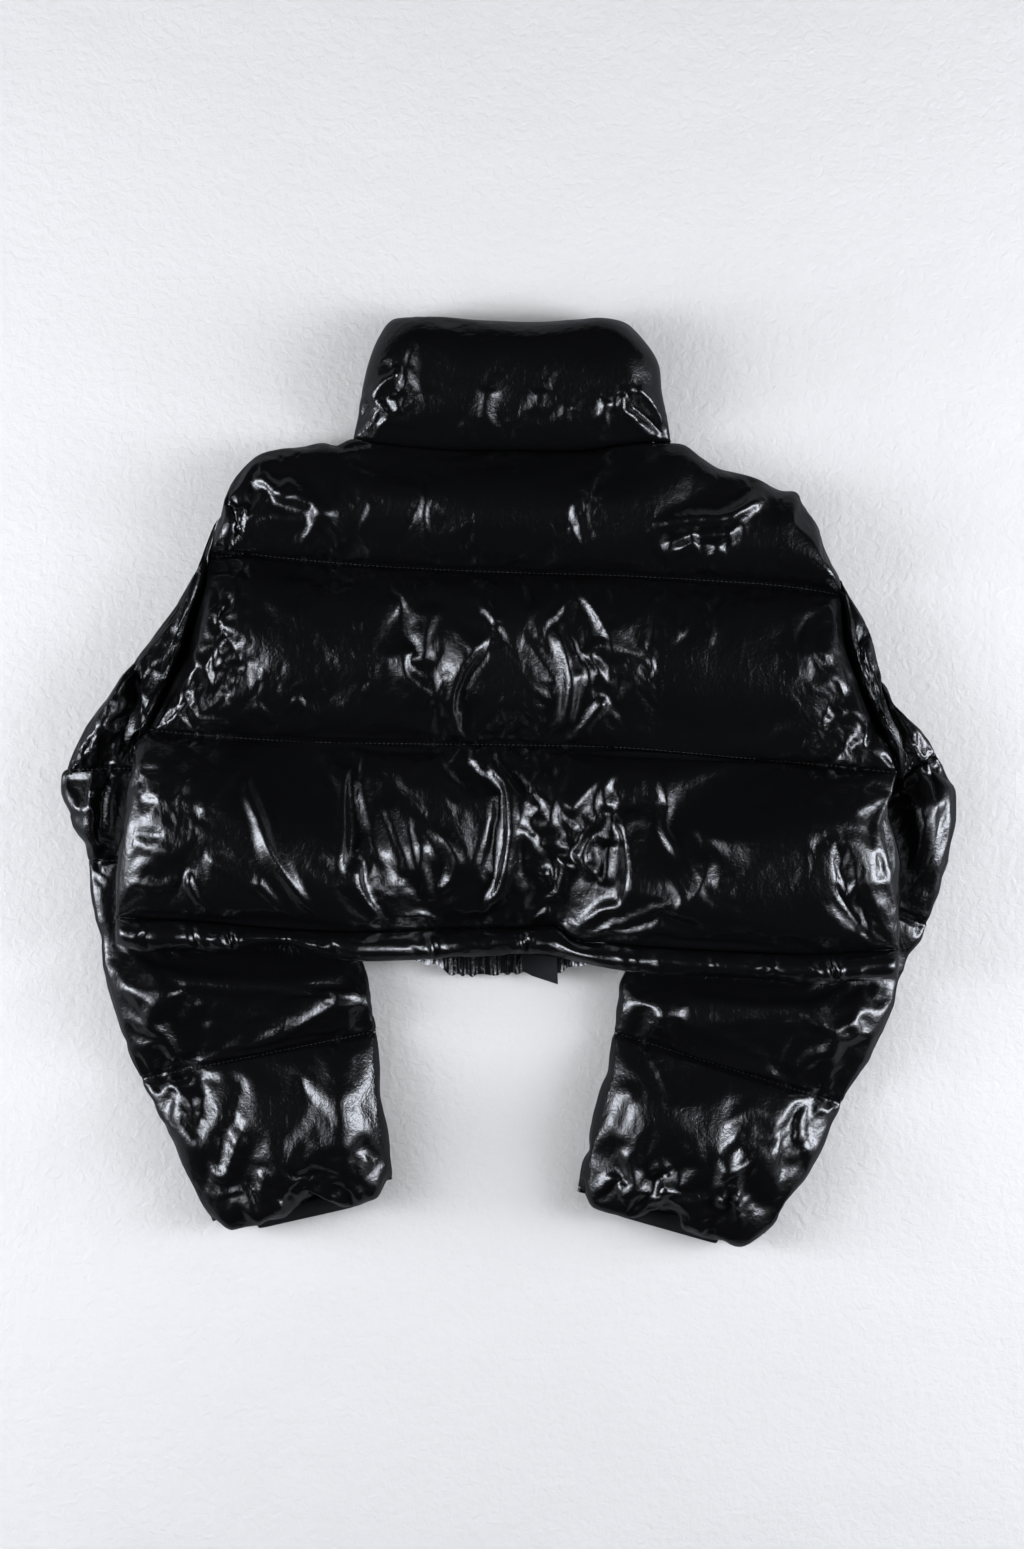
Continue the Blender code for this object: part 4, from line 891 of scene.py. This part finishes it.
def makeCollar():
    rows = spacing(collar["rows"], 0.4)
    shares = spacing(collar["around"], 0.45)
    plan = patch(collarTop, backNeck, collarLeft[::-1], collarRight[::-1], shares, 1 - rows)
    plan[..., 1] += 2 * jacket["seamGap"]
    quilting = quilted(rows, 0.55)[:, None]
    level = jacket["inside"]
    base = jacket["hollow"] + jacket["edge"]
    bumps = creased(plan, collar["creases"]) + 0.9 * ripples(plan, 34, 50, 1.9)
    fullness = rolled(sideDistance(plan), collar["roll"])
    top = level + (base + (collar["loft"] + bumps) * quilting) * fullness
    halves = []
    for side in (-1, 1):
        edge = plan[:, 0 if side < 0 else -1]
        share = spacing(collar["half"], 0.4)
        ending = zipX(edge[:, 1]) + side * jacket["channel"]
        x = edge[:, :1] + (ending - edge[:, 0])[:, None] * share
        y = np.array([np.interp(a, row[:, 0], row[:, 1]) for a, row in zip(x, plan)])
        half = np.stack([x, y - neckDrop(x) * (1 - rows)[:, None]], axis=-1)
        half[:, -1, 0] = zipX(half[:, -1, 1]) + side * jacket["channel"]
        full = np.clip(1.25 * quilting * rolled(sideDistance(half), 24.0), 0, 1)
        depth = base + (level - base) * full
        depth[:, 0] = 0
        halves.append(withHeight(half, level - depth))
    start = np.concatenate([halves[0][:, :0:-1], withHeight(plan, top), halves[1][:, 1:]], axis=1)
    lining = start.copy()
    lining[..., 0] -= collar["drawnIn"] * (start[..., 0] / 128) ** 3
    n, m = collar["half"] - 1, collar["around"]
    heights = np.full(start.shape[:-1], level + jacket["hollow"])
    heights[:, :n] = level - jacket["hollow"]
    heights[:, n + m:] = level - jacket["hollow"]
    heights[:, [n, n + m - 1]] = level
    lining[..., 2] = heights
    hold = np.zeros(start.shape[:-1])
    hold[[0, -1]] = 1.0
    hold[:, :n - 8] = 1.0
    hold[:, n + m + 8:] = 1.0
    fromTop = np.linalg.norm(plan - plan[:1], axis=-1)
    kept = 1 - smoothStep(np.minimum(sideDistance(plan), fromTop) / 20)
    hold[:, n:n + m] = np.maximum(hold[:, n:n + m], kept)
    outside = blownUp(start, hold, collar)
    outside[..., 2] = np.maximum(outside[..., 2], jacket["floorGap"])
    return paddedPiece("collarRoll", "collar", outside, lining)


# Sewing: single stitches along the quilting seams
sewing = {"pitch": 3.6, "length": 2.7, "thread": 0.34, "sunk": 0.05}


def stitchRun(bm, piece, line, fromAbove=True):  # stitches that lie on a piece along a line in plan
    length = np.linalg.norm(np.diff(np.array(line, float), axis=0), axis=1).sum()
    count = int(length / sewing["pitch"])
    points = smoothCurve(line, np.linspace(0.004, 0.996, count + 1))
    way = Vector((0, 0, -1 if fromAbove else 1))
    hits = [piece.ray_cast(Vector((x * mm, y * mm, 0)) - 0.3 * way, way) for x, y in points]
    for (found, start, _, _), (foundNext, end, _, _) in zip(hits[:-1], hits[1:]):
        if not (found and foundNext) or (end - start).length > 2 * sewing["pitch"] * mm:
            continue
        turned = (end - start).to_track_quat("X", "Z").to_matrix().to_4x4()
        middle = (start + end) / 2 + sewing["sunk"] * mm * way
        sizes = Vector((sewing["length"] / 2, sewing["thread"], 0.8 * sewing["thread"])) * mm
        place = Matrix.Translation(middle) @ turned @ Matrix.Diagonal((*sizes, 1))
        bmesh.ops.create_uvsphere(bm, u_segments=6, v_segments=4, radius=1.0, matrix=place)


def makeBodyStitches(panel, halves):
    bm = bmesh.new()
    for seam in (yokeSeam, chestSeam):
        stitchRun(bm, panel, seam)
        for half in halves:
            stitchRun(bm, half, seam, fromAbove=False)
    return fromMesh("bodyStitches", bm)


def makeSleeveStitches(name, sleeve, rows):
    bm = bmesh.new()
    for row in (rows[3], rows[5], rows[8]):
        outer, inner = Vector(row[0:2]), Vector(row[2:4])
        stitchRun(bm, sleeve, [outer.lerp(inner, 0.02), inner.lerp(outer, 0.02)])
    return fromMesh(name, bm)


# The zip: closed teeth between the tapes, which open above the slider
zipper = {
    "first": -147.0,
    "last": 371.0,
    "pitch": 3.0,
    "tooth": (4.0, 1.2, 2.6),
    "rounding": 0.3,
    "past": 1.3,  # how far a tooth reaches over the middle
    "opens": (353.0, 361.0),  # where the teeth part, inside the slider
    "apart": 2.4,
    "below": 2.6,  # the tapes' middle, under the middle of the hollow
}


def makeTeeth(side, name):
    bm = bmesh.new()
    long, wide, high = zipper["tooth"]
    y = zipper["first"] + (0.0 if side < 0 else zipper["pitch"] / 2)
    while y < zipper["last"]:
        opened = smoothStep((y - zipper["opens"][0]) / (zipper["opens"][1] - zipper["opens"][0]))
        x = zipX(y) + side * (long / 2 - zipper["past"] + zipper["apart"] * opened)
        plan = np.array([[x, y]])
        z = (underside(plan) + jacket["inside"] - hemDrop(plan))[0] - zipper["below"]
        tooth = bmesh.ops.create_cube(bm, size=1.0)["verts"]
        bmesh.ops.scale(bm, vec=(long * mm, wide * mm, high * mm), verts=tooth)
        bmesh.ops.translate(bm, vec=(x * mm, y * mm, z * mm), verts=tooth)
        edges = list({e for v in tooth for e in v.link_edges})
        bmesh.ops.bevel(bm, geom=edges, offset=zipper["rounding"] * mm, segments=1, profile=0.5,
                        affect="EDGES", material=-1)
        y += zipper["pitch"]
    return fromMesh(name, bm, smooth=False)


# The strip behind the zip, whose lower corner shows under the hem
flap = {
    "rows": [  # y, left edge, right edge, rise of the left edge
        (-158, 18, 38.4, 6), (-148, 10, 38.2, 0), (-141, 9.5, 37.8, 0), (-123, 8.5, 36.8, 0),
        (-98, 7, 35.5, 0), (-76, 6, 34.2, 0), (-50, 4, 32.6, 0), (340, -19, 9.4, 0),
    ],
    "thick": 1.4,
    "wave": 0.25,
}


def makeFlap():
    table = np.array(flap["rows"], float)
    y = np.concatenate([np.linspace(-158, -98, 26)[:-1], np.linspace(-98, 340, 74)])
    left, right, rise = [np.interp(y, table[:, 0], table[:, k]) for k in (1, 2, 3)]
    starts, ends = np.stack([left, y + rise], axis=1), np.stack([right, y], axis=1)
    plan = starts[:, None] + (ends - starts)[:, None] * np.linspace(0, 1, 8)[None, :, None]
    top = underside(plan) + jacket["inside"] - hemDrop(plan) + flap["thick"] / 2
    top = top + flap["wave"] * ripples(plan, 14, 30, 8.1)
    below = withHeight(plan, top - flap["thick"])
    return paddedPiece("windFlap", "wind_flap", withHeight(plan, top), below, finer=False)


# Finishes
def socketed(name, inputs, outputs):  # a node group with these values as inputs and these results
    group = bpy.data.node_groups.new(name, "ShaderNodeTree")
    for label, kind, value in inputs:
        socket = group.interface.new_socket(label, in_out="INPUT", socket_type=kind)
        if value is not None:
            socket.default_value = value
    for label, kind in outputs:
        group.interface.new_socket(label, in_out="OUTPUT", socket_type=kind)
    return group, group.nodes.new("NodeGroupInput"), group.nodes.new("NodeGroupOutput")


def mathNode(tree, operation, a, b=None, c=None):
    node = tree.nodes.new("ShaderNodeMath")
    node.operation = operation
    for socket, value in zip(node.inputs, (a, b, c)):
        if isinstance(value, bpy.types.NodeSocket):
            tree.links.new(value, socket)
        elif value is not None:
            socket.default_value = value
    return node.outputs[0]


def noiseNode(tree, vector, scale, detail=3.0, distortion=0.0, roughness=0.5):
    node = tree.nodes.new("ShaderNodeTexNoise")
    tree.links.new(vector, node.inputs["Vector"])
    node.inputs["Scale"].default_value = scale
    node.inputs["Detail"].default_value = detail
    node.inputs["Roughness"].default_value = roughness
    node.inputs["Distortion"].default_value = distortion
    return node.outputs["Fac"]


def crinkleGroup():  # fine creases of thin coated cloth, in metres on the piece's own place
    group, given, result = socketed(
        "crinkle",
        [("Place", "NodeSocketVector", None), ("Soft", "NodeSocketFloat", 1.0),
         ("Middle", "NodeSocketFloat", 0.2), ("Fine", "NodeSocketFloat", 0.1)],
        [("Height", "NodeSocketFloat"), ("Patches", "NodeSocketFloat")])
    stretch = group.nodes.new("ShaderNodeMapping")
    stretch.inputs["Scale"].default_value = (1.0, 0.4, 0.7)
    group.links.new(given.outputs["Place"], stretch.inputs["Vector"])
    place = stretch.outputs["Vector"]
    soft = noiseNode(group, place, 48.0, 1.0, 0.6)
    middle = noiseNode(group, place, 120.0, 1.0, 1.2)
    crumple = noiseNode(group, given.outputs["Place"], 300.0, 2.0, 0.8)
    patches = noiseNode(group, given.outputs["Place"], 12.0, 2.0)
    total = mathNode(group, "MULTIPLY_ADD", soft, given.outputs["Soft"],
                     mathNode(group, "MULTIPLY_ADD", middle, given.outputs["Middle"],
                              mathNode(group, "MULTIPLY", crumple, given.outputs["Fine"])))
    group.links.new(total, result.inputs["Height"])
    group.links.new(patches, result.inputs["Patches"])
    return group


def weaveGroup():  # threads over and under each other
    group, given, result = socketed(
        "plainWeave", [("Place", "NodeSocketVector", None), ("Threads", "NodeSocketFloat", 1800.0)],
        [("Height", "NodeSocketFloat")])
    heights = []
    for direction in ("X", "Y"):
        wave = group.nodes.new("ShaderNodeTexWave")
        wave.bands_direction = direction
        wave.inputs["Distortion"].default_value = 0.4
        wave.inputs["Detail"].default_value = 1.0
        group.links.new(given.outputs["Place"], wave.inputs["Vector"])
        group.links.new(given.outputs["Threads"], wave.inputs["Scale"])
        heights.append(wave.outputs["Fac"])
    group.links.new(mathNode(group, "MULTIPLY", *heights), result.inputs["Height"])
    return group


crinkle = crinkleGroup()
weave = weaveGroup()


def material(name, colour, roughness, **values):
    made = bpy.data.materials.new(name)
    made.use_nodes = True
    tree = made.node_tree
    shader = tree.nodes["Principled BSDF"]
    shader.inputs["Base Color"].default_value = (*colour, 1)
    shader.inputs["Roughness"].default_value = roughness
    for label, value in values.items():
        shader.inputs[label.replace("_", " ")].default_value = value
    place = tree.nodes.new("ShaderNodeTexCoord").outputs["Object"]
    return made, tree, shader, place


def placedGroup(tree, group, place, **values):
    node = tree.nodes.new("ShaderNodeGroup")
    node.node_tree = group
    tree.links.new(place, node.inputs["Place"])
    for label, value in values.items():
        node.inputs[label].default_value = value
    return node


def bumped(tree, shader, heights):  # heights with their distances in metres and strengths, one over another
    last = None
    for height, distance, strength in heights:
        bump = tree.nodes.new("ShaderNodeBump")
        bump.inputs["Distance"].default_value = distance
        bump.inputs["Strength"].default_value = strength
        tree.links.new(height, bump.inputs["Height"])
        if last is not None:
            tree.links.new(last.outputs["Normal"], bump.inputs["Normal"])
        last = bump
    tree.links.new(last.outputs["Normal"], shader.inputs["Normal"])


def ranged(tree, value, low, high):
    node = tree.nodes.new("ShaderNodeMapRange")
    tree.links.new(value, node.inputs["Value"])
    node.inputs["From Min"].default_value = 0.3
    node.inputs["From Max"].default_value = 0.7
    node.inputs["To Min"].default_value = low
    node.inputs["To Max"].default_value = high
    return node.outputs["Result"]


nylonLook = {"soft": 0.9, "middle": 0.4, "fine": 0.34, "crinkle": 0.001, "weave": 0.00002,
             "roughness": (0.13, 0.19)}


def nylonMaterial(name, amount):
    made, tree, shader, place = material(name, (0.0028, 0.0028, 0.003), 0.18, IOR=1.52)
    folds = placedGroup(tree, crinkle, place, Soft=nylonLook["soft"], Middle=nylonLook["middle"],
                        Fine=nylonLook["fine"])
    threads = placedGroup(tree, weave, place, Threads=1100.0)
    low, high = nylonLook["roughness"]
    tree.links.new(ranged(tree, folds.outputs["Patches"], low, high), shader.inputs["Roughness"])
    bumped(tree, shader, [(folds.outputs["Height"], nylonLook["crinkle"], amount),
                          (threads.outputs["Height"], nylonLook["weave"], 0.5)])
    return made


nylon = nylonMaterial("glossyNylon", 0.9)
ruchedNylon = nylonMaterial("ruchedNylon", 0.5)


def clothMaterial(name, colour, roughness, threads, depth, shine=0.5):
    made, tree, shader, place = material(name, colour, roughness, Specular_IOR_Level=shine)
    cloth = placedGroup(tree, weave, place, Threads=threads)
    fuzz = noiseNode(tree, place, 900.0, 2.0)
    tree.links.new(ranged(tree, fuzz, roughness - 0.08, roughness + 0.08), shader.inputs["Roughness"])
    bumped(tree, shader, [(cloth.outputs["Height"], depth, 0.8)])
    return made


tapeCloth = clothMaterial("zipTapeWeave", (0.010, 0.010, 0.011), 0.65, 900.0, 0.0003)
threadLook = clothMaterial("blackThread", (0.016, 0.016, 0.018), 0.5, 1400.0, 0.0002, 0.3)
elasticKnit = clothMaterial("elasticKnit", (0.006, 0.006, 0.007), 0.5, 700.0, 0.0003, 0.15)
flapCloth = clothMaterial("flapCloth", (0.006, 0.006, 0.007), 0.5, 1100.0, 0.00004, 0.06)


def toothMaterial():
    made, tree, shader, place = material("toothPlastic", (0.012, 0.012, 0.013), 0.34)
    grain = noiseNode(tree, place, 500.0, 3.0)
    tree.links.new(ranged(tree, grain, 0.26, 0.42), shader.inputs["Roughness"])
    bumped(tree, shader, [(grain, 0.0001, 0.3)])
    return made


toothPlastic = toothMaterial()


def metalMaterial():
    made, tree, shader, place = material("blackMetal", (0.022, 0.022, 0.025), 0.28, Metallic=1.0)
    smudges = noiseNode(tree, place, 260.0, 3.0)
    tree.links.new(ranged(tree, smudges, 0.2, 0.38), shader.inputs["Roughness"])
    ramp = tree.nodes.new("ShaderNodeValToRGB")
    ramp.color_ramp.elements[0].position = 0.62
    ramp.color_ramp.elements[0].color = (0.022, 0.022, 0.025, 1)
    ramp.color_ramp.elements[1].position = 0.8
    ramp.color_ramp.elements[1].color = (0.10, 0.10, 0.105, 1)
    tree.links.new(noiseNode(tree, place, 700.0, 4.0), ramp.inputs["Fac"])
    tree.links.new(ramp.outputs["Color"], shader.inputs["Base Color"])
    bumped(tree, shader, [(smudges, 0.0001, 0.4)])
    return made


metal = metalMaterial()


def finished(piece, finish, body="jacket"):
    piece.data.materials.clear()
    piece.data.materials.append(finish)
    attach(piece, body)


def padding(piece, fill, finish=nylon, slot="glossy_nylon"):
    finished(piece, finish)
    return piece


backPanel = padding(makeBack(), 0.7)
print("back panel made")
frontLeft = padding(makeFront(-1, "frontPanelLeft", "front_left"), 0.7)
frontRight = padding(makeFront(1, "frontPanelRight", "front_right"), 0.7)
print("front panels made")
padding(makeBackHem(), 0.6, ruchedNylon)
padding(makeFrontHem(-1, "hemBandLeft", "hem_front_left"), 0.5)
padding(makeFrontHem(1, "hemBandRight", "hem_front_right"), 0.5)
print("hem bands made")
sleeveLeft = padding(makeSleeve(-1, "sleeveLeft", "sleeve_left", leftSleeve, sleeves["leftPast"],
                                sleeves["leftCreases"]), 0.7)
sleeveRight = padding(makeSleeve(1, "sleeveRight", "sleeve_right", rightSleeve, sleeves["rightPast"],
                                 sleeves["rightCreases"]), 0.7)
print("sleeves made")
padding(makeCuff("cuffLeft", "cuff_left", leftCuff), 0.3, elasticKnit, "elastic_knit")
padding(makeCuff("cuffRight", "cuff_right", rightCuff), 0.3, elasticKnit, "elastic_knit")
padding(makeCollar(), 0.7)
print("cuffs and collar made")
threads = [makeBodyStitches(backPanel, (frontLeft, frontRight)),
           makeSleeveStitches("sleeveStitchesLeft", sleeveLeft, leftSleeve),
           makeSleeveStitches("sleeveStitchesRight", sleeveRight, rightSleeve)]
for piece in threads:
    finished(piece, threadLook)
windFlap = makeFlap()
finished(windFlap, flapCloth)
for piece in (makeTeeth(-1, "zipTeethLeft"), makeTeeth(1, "zipTeethRight")):
    finished(piece, toothPlastic)
print("stitches and zip teeth made")
carried = {"zip_tape_left": tapeCloth, "zip_tape_right": tapeCloth, "zip_slider": metal, "zip_pull": metal}
for name, finish in carried.items():
    for s in nodes[name].material_slots:
        s.material = finish


# The studio
studio = {
    "camera": (0.0016, 0.0104, 2.0),
    "lens": 57.23,
    "world": 0.007,
    "behind": (0.74, 0.75, 0.77),  # what only the camera sees past the floor's edge
    "floor": 1.65,
    "floorColour": (0.578, 0.566, 0.545),
    "floorShadedInReflections": (0.13, 0.132, 0.135),  # painted shade: the floor's colour in reflections, darker than it looks to the camera
    "cool": (0.87, 0.91, 1.0),
    "warm": (1.0, 0.99, 0.965),
    "side": 74.0,
    "sideAt": (1.7, -0.06, 0.85),
    "layers": [(0.5, 1.2, 0.42), (1.2, 2.6, 0.46), (2.4, 3.6, 0.12)],  # width, length, share of the power
    "overhead": 21.0,
    "overheadAt": (0, 0.5, 2.6),
    "dim": {"x": 0.95, "z": 2.2, "size": (0.5, 1.6), "power": 0.1},  # faint panels for the gentler slopes
}


def areaLight(name, at, target, size, power, colour):
    data = bpy.data.lights.new(name, "AREA")
    data.shape = "RECTANGLE"
    data.size, data.size_y = size
    data.energy = power
    data.color = colour
    light = bpy.data.objects.new(name, data)
    light.location = at
    light.rotation_euler = (Vector(target) - Vector(at)).to_track_quat("-Z", "Y").to_euler()
    bpy.context.scene.collection.objects.link(light)
    return light


def colourByRay(tree, ray, others, those, socket):  # one colour for such rays and another for the rest
    rays = tree.nodes.new("ShaderNodeLightPath")
    shade = tree.nodes.new("ShaderNodeMix")
    shade.data_type = "RGBA"
    shade.inputs[6].default_value = (*others, 1)
    shade.inputs[7].default_value = (*those, 1)
    tree.links.new(rays.outputs[ray], shade.inputs["Factor"])
    tree.links.new(shade.outputs[2], socket)


def makeStudio():
    bm = bmesh.new()
    bmesh.ops.create_grid(bm, x_segments=1, y_segments=1, size=studio["floor"])
    floor = fromMesh("floor", bm, smooth=False)
    pale, tree, shader, place = material("paleFloor", (0.8, 0.8, 0.8), 0.9)
    # Painted shade: rays reflected off the cloth see the floor darker than the camera does
    colourByRay(tree, "Is Glossy Ray", studio["floorColour"], studio["floorShadedInReflections"],
                shader.inputs["Base Color"])
    bumped(tree, shader, [(noiseNode(tree, place, 140.0, 6.0, 0.4, 0.6), 0.0022, 0.5),
                          (noiseNode(tree, place, 9.0, 2.0), 0.006, 0.5)])
    floor.data.materials.append(pale)
    cool, warm = studio["cool"], studio["warm"]
    x, y, z = studio["sideAt"]
    for side, name in ((-1, "softboxLeft"), (1, "softboxRight")):
        for k, (width, length, share) in enumerate(studio["layers"]):
            areaLight(f"{name}{k}", (side * (x + 0.02 * k), y, z), (side * 0.1, 0.0, 0.0),
                      (width, length), share * studio["side"], cool)
    over = areaLight("overheadFill", studio["overheadAt"], (0, 0.1, 0), (3.0, 3.0), studio["overhead"],
                     warm)
    over.visible_glossy = False
    dim = studio["dim"]
    for k, side in enumerate((-1, 1)):
        at = (side * dim["x"], 0, dim["z"])
        areaLight(f"dimPanel{k}", at, (0, 0, 0), dim["size"], dim["power"], cool).visible_diffuse = False
    world = bpy.data.worlds.new("studioWorld")
    world.use_nodes = True
    dark = [studio["world"] * c for c in (0.9, 0.95, 1)]
    colourByRay(world.node_tree, "Is Camera Ray", dark, studio["behind"],
                world.node_tree.nodes["Background"].inputs["Color"])
    bpy.context.scene.world = world
    camera = bpy.data.cameras.new("photoCamera")
    camera.sensor_width = 36.0
    camera.lens = studio["lens"]
    viewer = bpy.data.objects.new("photoCamera", camera)
    viewer.location = studio["camera"]
    bpy.context.scene.collection.objects.link(viewer)
    bpy.context.scene.camera = viewer
    bpy.context.scene.view_settings.view_transform = "Standard"


makeStudio()
print("studio set up")
